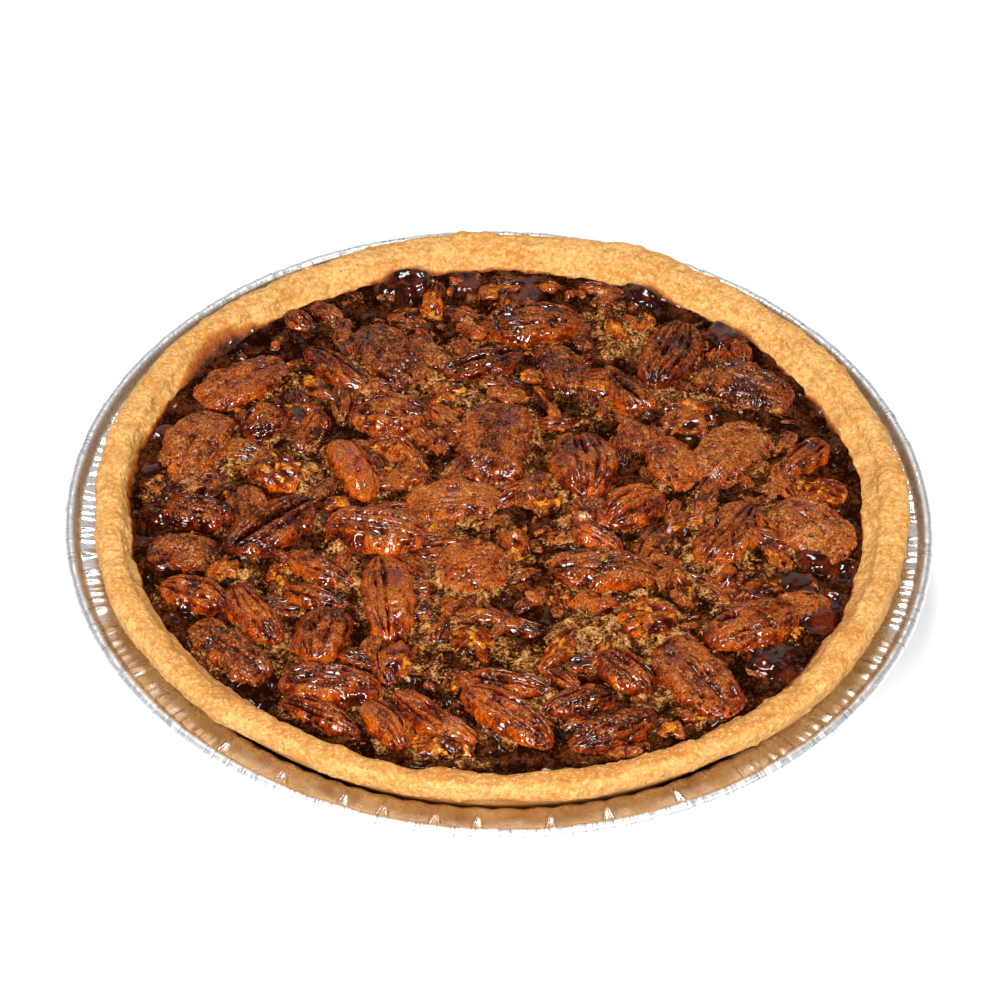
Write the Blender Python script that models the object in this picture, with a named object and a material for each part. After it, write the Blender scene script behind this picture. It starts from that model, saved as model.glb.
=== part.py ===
"""Pecan pie baked in a foil tin.

The tin, the pastry case, the filling and each pecan are separate solids.
The origin is the centre of the tin's underside, +Z is up and the front of the pie is -Y.
Lengths are given in millimetres and turned into metres when a mesh is made.
"""

import math
import random

import bmesh
import bpy
from mathutils import Vector

MM = 0.001
GAP = 0.35                    # clearance kept between two pieces that touch

# Foil tin
TIN_SIDES = 92
TIN_BASE_RADIUS = 90.6
TIN_CORNER = 1.8              # radius of the bend between base and wall
TIN_WALL_TOP_RADIUS = 110.6
TIN_FLANGE_HEIGHT = 27.0
TIN_FLANGE_RADIUS = 118.5
TIN_FOIL = 0.55
TIN_BEAD_RADIUS = 1.6
TIN_OUTER_RADIUS = 122.0
TIN_PLEAT = 0.4               # depth of the pressed pleats in the wall
TIN_BEAD_LIFT = 1.4           # height of the bead's centre above the flange

# Pastry case
CRUST_SIDES = 72
CRUST_FLOOR = 5.2             # thickness under the filling
CRUST_INNER_FLOOR_RADIUS = 88.5
WALL_MIDDLE_HEIGHT = 19.0     # where the inner wall bends a little
CRUST_RIM_HEIGHT = 34.0       # centre of the rounded rim
CRUST_RIM_TALL = 3.5          # half its height
# The rim is hand pressed: the values go round from the right in steps of 30 degrees, counterclockwise.
CRUST_RIM_RADIUS = (110.4, 109.8, 109.0, 108.6, 107.7, 109.0, 109.4, 110.2, 109.4, 109.3, 109.2, 110.0)
CRUST_RIM_WIDE = (4.3, 4.4, 4.5, 4.6, 4.5, 4.2, 4.0, 3.8, 3.6, 3.5, 3.6, 4.0)
CRUST_INNER_RADIUS = (101.0, 100.0, 98.8, 98.4, 98.6, 101.5, 103.0, 103.3, 103.2, 103.2, 103.3, 102.8)
CRUST_BUMP = (68.0, 1.6, 5.0)   # angle, rise and spread of the one fold that stands out of the rim

# Filling
FILLING_EDGE_HEIGHT = 32.0
FILLING_CROWN = 1.5           # how much higher the middle is than the edge
FILLING_WAVE = 0.45
FILLING_RINGS = (17.0, 35.0, 52.0, 68.0, 81.0, 92.0)

# Pecans: where the kinds differ in form
# kind: (rise at no width, rise for each mm of width, outline power, seven heights across the nut)
PECAN_FORMS = {
    "half": (2.2, 0.26, 0.50, (0.16, 0.84, 1.00, 0.70, 1.00, 0.84, 0.16)),
    "flat": (2.2, 0.15, 0.36, (0.35, 0.80, 0.96, 0.90, 0.94, 0.80, 0.35)),
    "split": (2.4, 0.22, 0.46, (0.20, 0.96, 0.78, 0.22, 0.80, 1.00, 0.20)),
    "piece": (2.2, 0.26, 0.38, (0.30, 0.82, 1.00, 0.84, 0.94, 0.72, 0.30)),
}
PECAN_ACROSS = (-1.0, -0.62, -0.25, 0.0, 0.25, 0.62, 1.0)
PECAN_GLAZE = 0.8             # syrup that widens a nut on each side
LONG_NUT = 26.0               # nuts this long have six cross sections, shorter ones five and the bits three
LONG_NUT_SECTIONS = (0.08, 0.26, 0.45, 0.63, 0.80, 0.93)
NUT_SECTIONS = (0.09, 0.29, 0.53, 0.75, 0.92)
BIT_SECTIONS = (0.12, 0.50, 0.88)
BIT_ACROSS = (0, 2, 4, 6)     # which of the seven heights across a bit keeps

# Place of each pecan: kind, x, y, turn in degrees, length, width
PECANS = (
    ("flat", -76, 45, 35, 29, 15),
    ("half", -48, 52, 137, 25, 9),
    ("piece", -21, 82, 83, 18, 7),
    ("flat", -32, 58, 122, 30, 15),
    ("half", 8, 73, 9, 29, 18),
    ("split", -6, 56, 21, 24, 11),
    ("piece", -16, 41, 0, 15, 9),
    ("flat", 16, 53, 109, 20, 12),
    ("piece", 32, 72, 90, 26, 7),
    ("half", 47, 62, 69, 32, 16),
    ("flat", 70, 48, 155, 29, 15),
    ("split", 38, 44, 133, 17, 11),
    ("flat", 67, 19, 52, 28, 15),
    ("half", 87, 19, 46, 18, 9),
    ("piece", 90, 6, 166, 15, 11),
    ("flat", 87, -11, 137, 26, 17),
    ("flat", 48, 14, 122, 21, 13),
    ("half", 38, -5, 38, 20, 12),
    ("half", 63, -13, 58, 28, 14),
    ("flat", -85, 18, 69, 26, 16),
    ("half", -67, 27, 37, 15, 13),
    ("piece", -61, 7, 160, 19, 14),
    ("half", -86, -8, 173, 25, 12),
    ("split", -64, -14, 43, 29, 15),
    ("flat", -87, -25, 174, 19, 12),
    ("half", -43, 8, 114, 26, 10),
    ("half", -34, -16, 172, 28, 16),
    ("half", -32, 32, 175, 23, 15),
    ("flat", 0, 21, 85, 33, 19),
    ("half", 22, 12, 96, 27, 18),
    ("flat", -13, -4, 5, 25, 14),
    ("half", 28, -18, 144, 17, 9),
    ("flat", -7, -30, 9, 18, 17),
    ("half", -82, -43, 162, 22, 11),
    ("half", -65, -48, 123, 25, 11),
    ("half", -48, -31, 152, 22, 9),
    ("half", -49, -41, 160, 20, 7),
    ("half", -46, -56, 78, 21, 14),
    ("split", -31, -42, 97, 32, 13),
    ("flat", -72, -63, 139, 28, 12),
    ("half", 29, -31, 178, 30, 15),
    ("piece", -7, -56, 150, 18, 11),
    ("piece", 18, -57, 45, 28, 11),
    ("half", 35, -67, 137, 18, 11),
    ("piece", 40, -48, 25, 17, 13),
    ("half", 69, -48, 30, 28, 14),
    ("piece", 73, -34, 42, 19, 7),
    ("flat", 56, -68, 128, 32, 16),
    ("half", -44, -75, 178, 27, 14),
    ("half", -47, -87, 149, 24, 10),
    ("half", -15, -84, 141, 28, 9),
    ("half", 3, -84, 138, 31, 12),
    ("half", 4, -74, 167, 24, 7),
    ("half", -29, -88, 127, 19, 10),
    ("piece", -15, -96, 159, 20, 8),
    ("half", 23, -78, 22, 21, 9),
    ("half", 31, -87, 32, 26, 11),
)

# Broken bits too small to be pieces of their own stand out of the filling: x, y, turn, length, width
BITS = (
    (-54, 43, 139, 18, 4),
    (-59, 33, 97, 17, 5),
    (-30, 76, 12, 10, 7),
    (-2, 88, 25, 12, 7),
    (3, 43, 160, 12, 7),
    (13, 38, 116, 15, 4),
    (30, 45, 136, 11, 5),
    (54, 38, 179, 13, 5),
    (53, 30, 17, 16, 4),
    (48, -12, 61, 13, 4),
    (77, -22, 139, 9, 5),
    (63, -32, 54, 10, 5),
    (-29, 15, 144, 13, 6),
    (-31, 6, 136, 12, 5),
    (-16, 23, 59, 14, 5),
    (11, -3, 157, 13, 7),
    (5, -22, 111, 12, 5),
    (23, -8, 177, 8, 4),
    (-76, -33, 13, 8, 7),
    (9, -38, 111, 9, 6),
    (24, -42, 177, 18, 6),
    (-5, -47, 165, 26, 5),
    (-25, -65, 14, 13, 9),
    (51, -35, 105, 17, 5),
    (34, -94, 15, 13, 4),
    (46, -87, 24, 6, 4),
)
BIT_RISE = 2.6
BIT_ROOT = 1.6                # how deep a bit sits in the filling


def clear_scene():
    for old in list(bpy.data.objects):
        bpy.data.objects.remove(old, do_unlink=True)


def make_material(name, colour, roughness, metallic=0.0):
    material = bpy.data.materials.new(name)
    material.use_nodes = True
    shader = material.node_tree.nodes["Principled BSDF"]
    shader.inputs["Base Color"].default_value = (*colour, 1.0)
    shader.inputs["Roughness"].default_value = roughness
    shader.inputs["Metallic"].default_value = metallic
    material.diffuse_color = (*colour, 1.0)
    return material


def make_object(name, points, faces, material, sharp_degrees):
    """Points in millimetres become one smooth-shaded object in metres."""
    mesh = bpy.data.meshes.new(name)
    mesh.from_pydata([(x * MM, y * MM, z * MM) for x, y, z in points], [], faces)
    bm = bmesh.new()
    bm.from_mesh(mesh)
    bmesh.ops.recalc_face_normals(bm, faces=bm.faces)
    bm.to_mesh(mesh)
    bm.free()
    mesh.materials.append(material)
    mesh.shade_smooth()
    mesh.set_sharp_from_angle(angle=math.radians(sharp_degrees))
    solid = bpy.data.objects.new(name, mesh)
    bpy.context.scene.collection.objects.link(solid)
    return solid


def closed_rings(rings, first_pole, last_pole):
    """Points and triangles of a body made of rings one after another, closed by a point at each end."""
    sides = len(rings[0])
    points = [first_pole]
    for ring in rings:
        points.extend(ring)
    points.append(last_pole)
    faces = []
    last_start = 1 + (len(rings) - 1) * sides
    for side in range(sides):
        after = (side + 1) % sides
        faces.append((0, 1 + after, 1 + side))
        faces.append((len(points) - 1, last_start + side, last_start + after))
        for ring in range(len(rings) - 1):
            low = 1 + ring * sides
            high = low + sides
            faces.append((low + side, low + after, high + after))
            faces.append((low + side, high + after, high + side))
    return points, faces


def polar(radius, height, angle):
    return (radius * math.cos(angle), radius * math.sin(angle), height)


def around(values, angle):
    """A value at an angle, eased between the ones given at equal steps round the pie."""
    place = (angle / math.tau) % 1.0 * len(values)
    index = int(place)
    share = 0.5 - 0.5 * math.cos(math.pi * (place - index))
    return values[index % len(values)] * (1.0 - share) + values[(index + 1) % len(values)] * share


def filling_top(x, y):
    """Height of the filling: a low crown with slow waves in it."""
    reach = math.hypot(x, y) / 100.0
    crown = FILLING_CROWN * (1.0 - min(reach, 1.0) ** 2)
    wave = math.sin(x / 10.0 + 0.4) * math.cos(y / 11.0 + 1.0) + 0.5 * math.sin((x - y) / 13.0)
    return FILLING_EDGE_HEIGHT + crown + FILLING_WAVE * wave


def crust_inner_radius(angle):
    """Radius where the filling meets the pastry."""
    return around(CRUST_INNER_RADIUS, angle) + 0.35 * math.sin(9.0 * angle + 0.8)


def crust_wall_radius(angle, height):
    """Radius of the pastry's inner wall under the filling's edge."""
    low = CRUST_FLOOR + 2.3
    share = (height - low) / (FILLING_EDGE_HEIGHT - low)
    top = crust_inner_radius(angle)
    return CRUST_INNER_FLOOR_RADIUS + (top - CRUST_INNER_FLOOR_RADIUS) * share ** 0.7


def crust_rim(angle):
    """Centre radius, centre height, half width and half height of the rounded rim."""
    bump_angle, bump_rise, bump_spread = CRUST_BUMP
    away = (math.degrees(angle) - bump_angle + 180.0) % 360.0 - 180.0
    bump = bump_rise * math.exp(-(away / bump_spread) ** 2)
    radius = around(CRUST_RIM_RADIUS, angle) + 0.3 * math.sin(7.0 * angle + 1.0) + 0.2 * math.sin(13.0 * angle)
    height = CRUST_RIM_HEIGHT + 0.35 * math.sin(4.0 * angle + 2.0) + 0.2 * math.sin(11.0 * angle + 0.5)
    wide = around(CRUST_RIM_WIDE, angle) + 0.2 * math.sin(10.0 * angle + 2.4)
    return radius + 0.6 * bump, height, wide + 0.4 * bump, CRUST_RIM_TALL


def build_tin(material):
    bead_height = TIN_FLANGE_HEIGHT + TIN_BEAD_LIFT
    bead_centre = TIN_OUTER_RADIUS - TIN_BEAD_RADIUS
    # radius, height, pleat depth across, pleat depth up: from the underside, round the bead, to the inside
    profile = [
        (TIN_BASE_RADIUS, 0.0, 0.0, 0.0),
        (TIN_BASE_RADIUS + TIN_CORNER, 1.4, 0.5, 0.0),
        (TIN_WALL_TOP_RADIUS + 0.3, TIN_FLANGE_HEIGHT - TIN_FOIL, 1.0, 0.5),
        (TIN_FLANGE_RADIUS, TIN_FLANGE_HEIGHT - TIN_FOIL, 0.0, 0.3),
    ]
    for degrees in (-95.0, -10.0, 65.0, 130.0):
        turn = math.radians(degrees)
        across = bead_centre + TIN_BEAD_RADIUS * math.cos(turn)
        up = bead_height + TIN_BEAD_RADIUS * math.sin(turn)
        profile.append((across, up, 0.0, 0.0))
    profile += [
        (TIN_FLANGE_RADIUS, TIN_FLANGE_HEIGHT, 0.0, 0.3),
        (TIN_WALL_TOP_RADIUS - 0.2, TIN_FLANGE_HEIGHT, 1.0, 0.5),
        (TIN_BASE_RADIUS + TIN_CORNER - TIN_FOIL, 1.4 + 0.4, 0.5, 0.0),
        (TIN_BASE_RADIUS - 0.3, TIN_FOIL, 0.0, 0.0),
    ]
    rings = []
    for radius, height, pleat_across, pleat_up in profile:
        ring = []
        for side in range(TIN_SIDES):
            pleat = TIN_PLEAT if side % 2 else -TIN_PLEAT
            angle = math.tau * side / TIN_SIDES
            ring.append(polar(radius + pleat * pleat_across, height + pleat * pleat_up, angle))
        rings.append(ring)
    points, faces = closed_rings(rings, (0.0, 0.0, 0.0), (0.0, 0.0, TIN_FOIL))
    make_object("foil_tin", points, faces, material, 25.0)


def build_crust(material):
    under = TIN_FOIL + GAP
    angles = [math.tau * side / CRUST_SIDES for side in range(CRUST_SIDES)]
    wall_top = TIN_WALL_TOP_RADIUS - 0.2 - TIN_PLEAT - GAP - 0.15
    rings = [
        [polar(TIN_BASE_RADIUS - 0.8, under + 0.05, angle) for angle in angles],
        [polar(TIN_BASE_RADIUS + 0.4, under + 1.1, angle) for angle in angles],
        [polar(wall_top, TIN_FLANGE_HEIGHT + 0.2, angle) for angle in angles],
        [polar(wall_top + 0.3, TIN_FLANGE_HEIGHT + 1.8, angle) for angle in angles],
    ]
    for degrees in (-50.0, -8.0, 32.0, 70.0, 110.0, 152.0):
        turn = math.radians(degrees)
        ring = []
        for angle in angles:
            radius, height, wide, tall = crust_rim(angle)
            ring.append(polar(radius + wide * math.cos(turn), height + tall * math.sin(turn), angle))
        rings.append(ring)
    slope = []
    for angle in angles:
        radius, height, wide, _ = crust_rim(angle)
        inner = crust_inner_radius(angle)
        slope.append(polar(inner + 0.45 * (radius - wide - inner), FILLING_EDGE_HEIGHT + 1.6, angle))
    rings.append(slope)
    for height in (FILLING_EDGE_HEIGHT, WALL_MIDDLE_HEIGHT, CRUST_FLOOR + 2.3):
        rings.append([polar(crust_wall_radius(angle, height), height, angle) for angle in angles])
    floor = under + CRUST_FLOOR
    rings.append([polar(CRUST_INNER_FLOOR_RADIUS - 3.0, floor, angle) for angle in angles])
    points, faces = closed_rings(rings, (0.0, 0.0, under + 0.05), (0.0, 0.0, floor))
    make_object("pastry_crust", points, faces, material, 40.0)


def build_filling(material, bits):
    angles = [math.tau * side / CRUST_SIDES for side in range(CRUST_SIDES)]
    gap = GAP + 0.1
    floor = TIN_FOIL + GAP + CRUST_FLOOR + gap
    rings = [
        [polar(CRUST_INNER_FLOOR_RADIUS - 3.3, floor, angle) for angle in angles],
        [polar(CRUST_INNER_FLOOR_RADIUS - 0.4, CRUST_FLOOR + 2.6, angle) for angle in angles],
    ]
    rings.append([
        polar(crust_wall_radius(angle, WALL_MIDDLE_HEIGHT) - gap, WALL_MIDDLE_HEIGHT, angle) for angle in angles
    ])
    edge = []
    for angle in angles:
        radius = crust_inner_radius(angle) - gap
        x, y, _ = polar(radius, 0.0, angle)
        edge.append((x, y, min(filling_top(x, y), FILLING_EDGE_HEIGHT + 0.2)))
    rings.append(edge)
    for radius in reversed(FILLING_RINGS):
        ring = []
        for angle in angles:
            x, y, _ = polar(radius, 0.0, angle)
            ring.append((x, y, filling_top(x, y)))
        rings.append(ring)
    points, faces = closed_rings(rings, (0.0, 0.0, floor), (0.0, 0.0, filling_top(0.0, 0.0)))
    filling = make_object("pecan_filling", points, faces, material, 50.0)

    group = bpy.data.collections.new("bits")
    bpy.context.scene.collection.children.link(group)
    for bit in bits:
        bpy.context.scene.collection.objects.unlink(bit)
        group.objects.link(bit)
    union = filling.modifiers.new("bits", "BOOLEAN")
    union.operation = "UNION"
    union.operand_type = "COLLECTION"
    union.collection = group
    union.solver = "MANIFOLD"
    graph = bpy.context.evaluated_depsgraph_get()
    joined = bpy.data.meshes.new_from_object(filling.evaluated_get(graph))
    filling.modifiers.remove(union)
    filling.data = joined
    for bit in bits:
        bpy.data.objects.remove(bit, do_unlink=True)
    bpy.data.collections.remove(group)


def half_width(share, width, power):
    """Half the nut's width at a share of its length: full in the middle and round at the ends."""
    return 0.5 * width * (1.0 - abs(2.0 * share - 1.0) ** 2.3) ** power


class Nut:
    """Place, size and form of one pecan, and the upright planes that trim it."""

    def __init__(self, name, kind, x, y, turn, length, width, rise, root):
        self.name = name
        self.kind = kind
        self.centre = Vector((x, y))
        self.turn = math.radians(turn)
        self.length = length + 2.0 * PECAN_GLAZE
        self.width = width + 2.0 * PECAN_GLAZE
        self.rise = rise
        self.root = root
        draw = random.Random(name)
        self.bend = draw.uniform(-0.05, 0.05) * length
        self.lean = draw.uniform(-0.12, 0.12)
        self.cuts = []

    def plan(self, along, across):
        """Point on the plan from a place along and across the nut."""
        bow = self.bend * (1.0 - (2.0 * along / self.length) ** 2)
        side = across + bow
        cos_turn, sin_turn = math.cos(self.turn), math.sin(self.turn)
        return Vector((
            self.centre.x + along * cos_turn - side * sin_turn,
            self.centre.y + along * sin_turn + side * cos_turn,
        ))

    def outline(self, margin):
        power = PECAN_FORMS[self.kind][2]
        steps = [0.0, 0.04, 0.12, 0.24, 0.37, 0.5, 0.63, 0.76, 0.88, 0.96, 1.0]
        points = []
        for sign, order in ((-1.0, steps), (1.0, steps[::-1][1:-1])):
            for share in order:
                along = (share - 0.5) * (self.length + 2.0 * margin)
                across = sign * (half_width(share, self.width, power) + margin)
                points.append(self.plan(along, across))
        return points

    def build(self, material):
        power, heights = PECAN_FORMS[self.kind][2:]
        origin_height = filling_top(*self.centre) + GAP
        form = list(zip(PECAN_ACROSS, heights))
        shares = LONG_NUT_SECTIONS if self.length > LONG_NUT else NUT_SECTIONS
        if self.root:
            form = [form[index] for index in BIT_ACROSS]
            shares = BIT_SECTIONS
        sections = []
        for share in shares:
            along = (share - 0.5) * self.length
            half = half_width(share, self.width, power)
            swell = (1.0 - abs(2.0 * share - 1.0) ** 2.6) ** 0.5
            ring = []
            for across, height in form:
                spot = self.plan(along, across * half)
                lift = self.rise * swell * height * (1.0 + self.lean * across)
                ring.append((spot.x, spot.y, filling_top(*spot) + GAP + lift))
            spot = self.plan(along, 0.0)
            ring.append((spot.x, spot.y, filling_top(*spot) + GAP - self.root))
            sections.append(ring)
        tips = []
        for along in (-0.5 * self.length, 0.5 * self.length):
            spot = self.plan(along, 0.0)
            tips.append((spot.x, spot.y, filling_top(*spot) + GAP + 0.3 - self.root))
        points, faces = closed_rings(sections, *tips)
        cos_turn, sin_turn = math.cos(self.turn), math.sin(self.turn)
        local = []
        for x, y, z in points:
            across_x, across_y = x - self.centre.x, y - self.centre.y
            local.append((
                across_x * cos_turn + across_y * sin_turn,
                across_y * cos_turn - across_x * sin_turn,
                z - origin_height,
            ))
        solid = make_object(self.name, local, faces, material, 55.0)
        self.trim(solid)
        solid.location = (self.centre.x * MM, self.centre.y * MM, origin_height * MM)
        solid.rotation_euler = (0.0, 0.0, self.turn)
        return solid

    def trim(self, solid):
        """Cut the nut flat where it presses against a neighbour or the pastry."""
        cos_turn, sin_turn = math.cos(self.turn), math.sin(self.turn)
        bm = bmesh.new()
        bm.from_mesh(solid.data)
        for point, normal in self.cuts:
            away = point - self.centre
            local_point = (away.x * cos_turn + away.y * sin_turn, away.y * cos_turn - away.x * sin_turn)
            local_normal = (normal.x * cos_turn + normal.y * sin_turn, normal.y * cos_turn - normal.x * sin_turn)
            result = bmesh.ops.bisect_plane(
                bm, geom=bm.verts[:] + bm.edges[:] + bm.faces[:], dist=1e-7,
                plane_co=(local_point[0] * MM, local_point[1] * MM, 0.0),
                plane_no=(local_normal[0], local_normal[1], 0.0), clear_outer=True,
            )
            rim = [item for item in result["geom_cut"] if isinstance(item, bmesh.types.BMEdge)]
            if rim:
                bmesh.ops.holes_fill(bm, edges=rim, sides=0)
        bmesh.ops.triangulate(bm, faces=bm.faces)
        bmesh.ops.recalc_face_normals(bm, faces=bm.faces)
        bm.to_mesh(solid.data)
        bm.free()


def crossings(first, second):
    """Points where two closed outlines cross."""
    found = []
    for index, start in enumerate(first):
        step = first[(index + 1) % len(first)] - start
        for other, begin in enumerate(second):
            stride = second[(other + 1) % len(second)] - begin
            turn = step.cross(stride)
            if abs(turn) < 1e-9:
                continue
            along = (begin - start).cross(stride) / turn
            beside = (begin - start).cross(step) / turn
            if 0.0 <= along < 1.0 and 0.0 <= beside < 1.0:
                found.append(start + step * along)
    return found


def part_neighbours(nuts):
    """Give each two nuts that meet one upright plane between them, through the two points they share."""
    outlines = [nut.outline(0.5 * GAP) for nut in nuts]
    for index, nut in enumerate(nuts):
        for other in range(index + 1, len(nuts)):
            mate = nuts[other]
            between = mate.centre - nut.centre
            if between.length > 0.5 * (nut.length + mate.length) + GAP:
                continue
            shared = crossings(outlines[index], outlines[other])
            if not shared:
                continue
            middle = sum(shared, Vector((0.0, 0.0))) / len(shared)
            line = shared[-1] - shared[0]
            normal = Vector((-line.y, line.x)).normalized() if line.length > 0.5 else between.normalized()
            if normal.dot(between) < 0.0:
                normal = -normal
            nut.cuts.append((middle - normal * 0.5 * GAP, normal))
            mate.cuts.append((middle + normal * 0.5 * GAP, -normal))


def keep_off_crust(nuts):
    """Trim each nut that would reach the pastry by the chord of the filling's edge beside it."""
    for nut in nuts:
        reach = max(nut.outline(0.0), key=lambda point: point.length)
        angle = math.atan2(nut.centre.y, nut.centre.x)
        limit = crust_inner_radius(angle) - 2.0 * GAP - 0.5
        if reach.length < limit:
            continue
        outward = nut.centre.normalized()
        sideways = Vector((-outward.y, outward.x))
        spread = max(abs(point.dot(sideways)) for point in nut.outline(0.0) if point.length > limit - 2.0)
        chord = math.sqrt(limit ** 2 - spread ** 2)
        nut.cuts.append((outward * chord, outward))


def build_pecans(materials):
    counts = {}
    nuts = []
    for kind, x, y, turn, length, width in PECANS:
        counts[kind] = counts.get(kind, 0) + 1
        rise_base, rise_share = PECAN_FORMS[kind][:2]
        rise = rise_base + rise_share * width
        nuts.append(Nut(f"pecan_{kind}_{counts[kind]:02d}", kind, x, y, turn, length, width, rise, 0.0))
    bits = []
    for number, (x, y, turn, length, width) in enumerate(BITS):
        bits.append(Nut(f"bit_{number:02d}", "piece", x, y, turn, length, width, BIT_RISE, BIT_ROOT))
    part_neighbours(nuts + bits)
    keep_off_crust(nuts + bits)
    for nut in nuts:
        nut.build(materials[nut.kind])
    return [bit.build(materials["piece"]) for bit in bits]


def main():
    clear_scene()
    foil = make_material("bright foil", (0.80, 0.80, 0.80), 0.28, 1.0)
    pastry = make_material("baked pastry", (0.72, 0.44, 0.17), 0.75)
    caramel = make_material("dark caramel filling", (0.055, 0.028, 0.016), 0.35)
    nut_materials = {
        "half": make_material("glazed pecan half", (0.26, 0.075, 0.02), 0.25),
        "flat": make_material("frothy pecan half", (0.30, 0.13, 0.05), 0.5),
        "split": make_material("split pecan half", (0.22, 0.07, 0.025), 0.3),
        "piece": make_material("broken pecan piece", (0.33, 0.10, 0.025), 0.25),
    }
    build_tin(foil)
    build_crust(pastry)
    bits = build_pecans(nut_materials)
    build_filling(caramel, bits)


main()
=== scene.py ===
import math
import random

import bpy
import numpy as np
from mathutils import Matrix, Vector


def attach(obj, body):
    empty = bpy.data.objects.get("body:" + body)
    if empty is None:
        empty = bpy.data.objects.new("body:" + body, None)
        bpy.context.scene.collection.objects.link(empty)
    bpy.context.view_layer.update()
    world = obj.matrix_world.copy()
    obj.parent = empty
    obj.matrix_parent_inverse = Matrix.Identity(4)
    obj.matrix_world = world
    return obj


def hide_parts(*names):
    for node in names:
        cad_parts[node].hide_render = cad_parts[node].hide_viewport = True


# A pecan pie in its foil tin. Sizes are in millimetres until a mesh is made, +Z is up and the front is -Y.

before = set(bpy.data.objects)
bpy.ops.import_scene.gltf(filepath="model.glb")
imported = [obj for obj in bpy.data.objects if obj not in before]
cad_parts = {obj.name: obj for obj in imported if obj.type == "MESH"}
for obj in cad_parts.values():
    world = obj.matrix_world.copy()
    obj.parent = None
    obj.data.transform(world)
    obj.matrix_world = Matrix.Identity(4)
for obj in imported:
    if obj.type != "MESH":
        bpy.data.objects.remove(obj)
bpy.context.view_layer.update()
mm = 0.001
tau = math.tau


# Meshes and relief

def putMesh(name, points, faces, attributes, material, slotName):
    # points in millimetres, faces as arrays of 3 or 4 corners, attributes as one value for each point;
    # a loop starts where the corners of all faces before it end
    mesh = bpy.data.meshes.new(name)
    mesh.vertices.add(len(points))
    mesh.vertices.foreach_set("co", (points * mm).astype(np.float32).ravel())
    corners = np.concatenate([block.ravel() for block in faces]).astype(np.int32)
    sizes = np.concatenate([np.full(len(block), block.shape[1]) for block in faces]).astype(np.int32)
    mesh.loops.add(len(corners))
    mesh.loops.foreach_set("vertex_index", corners)
    mesh.polygons.add(len(sizes))
    mesh.polygons.foreach_set("loop_start", (np.cumsum(sizes) - sizes).astype(np.int32))
    mesh.polygons.foreach_set("use_smooth", np.ones(len(sizes), dtype=bool))
    mesh.update(calc_edges=True)
    for label, values in attributes.items():
        layer = mesh.attributes.new(label, "FLOAT", "POINT")
        layer.data.foreach_set("value", values.astype(np.float32).ravel())
    mesh.materials.append(material)
    piece = bpy.data.objects.new(name, mesh)
    bpy.context.scene.collection.objects.link(piece)
    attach(piece, "root")
    return piece


def ringFaces(rows, columns, start=0, flip=False):
    # quads between row i and i + 1, columns j and j + 1, the last column joined to the first
    low = start + np.arange(rows - 1)[:, None] * columns + np.arange(columns)[None, :]
    after = start + np.arange(rows - 1)[:, None] * columns + (np.arange(columns)[None, :] + 1) % columns
    quads = np.stack([low, after, after + columns, low + columns], axis=-1).reshape(-1, 4)
    return quads[:, ::-1] if flip else quads


def fan(pole, ring, flip=False):
    # triangles from one point to a closed ring
    after = np.roll(ring, -1)
    triangles = np.stack([np.full(len(ring), pole), ring, after], axis=-1)
    return triangles[:, ::-1] if flip else triangles


def turnedBody(grid, lowPole, highPole, flip=False):
    # grid of rows x columns x 3, closed round, with a pole before its first row and one after its last
    rows, columns = grid.shape[:2]
    points = np.concatenate([[lowPole], grid.reshape(-1, 3), [highPole]])
    first = 1 + np.arange(columns)
    last = 1 + (rows - 1) * columns + np.arange(columns)
    faces = [
        ringFaces(rows, columns, 1, flip),
        fan(0, first, not flip),
        fan(len(points) - 1, last, flip),
    ]
    return points, faces


def withPoles(values, low, high):
    # one value for each point of a turned body: low at its first pole, high at its last
    return np.concatenate([[low], values.ravel(), [high]])


def lattice(cell, seed):
    # one fixed value from -1 to 1 for each whole-numbered cell
    mixed = cell[..., 0] * np.uint64(73856093) ^ cell[..., 1] * np.uint64(19349663)
    mixed = mixed ^ cell[..., 2] * np.uint64(83492791) ^ np.uint64(seed * 2654435761 % 4294967296)
    for factor in (2246822519, 3266489917):
        mixed = (mixed ^ (mixed >> np.uint64(15))) * np.uint64(factor) & np.uint64(0xFFFFFFFF)
    return ((mixed ^ (mixed >> np.uint64(16))) & np.uint64(0xFFFF)).astype(float) / 32767.5 - 1.0


def lumps(points, size, seed):
    # value noise: the eight corner values of a cell of this size, blended by 3 t^2 - 2 t^3
    place = points / size
    base = np.floor(place)
    share = place - base
    share = share * share * (3.0 - 2.0 * share)
    base = (base + 8192).astype(np.uint64)
    total = np.zeros(points.shape[:-1])
    for step in np.ndindex(2, 2, 2):
        weight = np.prod(np.where(np.array(step) == 1, share, 1.0 - share), axis=-1)
        total += weight * lattice(base + np.array(step, dtype=np.uint64), seed)
    return total


def pits(points, size, seed):
    # distance, in cells, to the nearest of the points that the cells hold, and that point's own fixed value
    place = points / size
    base = np.floor(place)
    nearest = np.full(points.shape[:-1], 9.0)
    value = np.zeros(points.shape[:-1])
    for step in np.ndindex(3, 3, 3):
        cell = base + np.array(step) - 1.0
        code = (cell + 8192).astype(np.uint64)
        spot = cell + 0.5 + 0.42 * np.stack([lattice(code, seed + axis) for axis in range(3)], axis=-1)
        away = np.linalg.norm(place - spot, axis=-1)
        closer = away < nearest
        nearest = np.where(closer, away, nearest)
        value = np.where(closer, lattice(code, seed + 7), value)
    return nearest, value


def ease(values, start, end):
    # 0 at start, 1 at end, by 3 t^2 - 2 t^3 between
    share = np.clip((values - start) / (end - start), 0.0, 1.0)
    return share * share * (3.0 - 2.0 * share)


def roundRow(radius, height, angle):
    # one row of a turned body's grid: radius and height may change with the angle
    return np.stack(np.broadcast_arrays(radius * np.cos(angle), radius * np.sin(angle), height), axis=-1)


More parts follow.
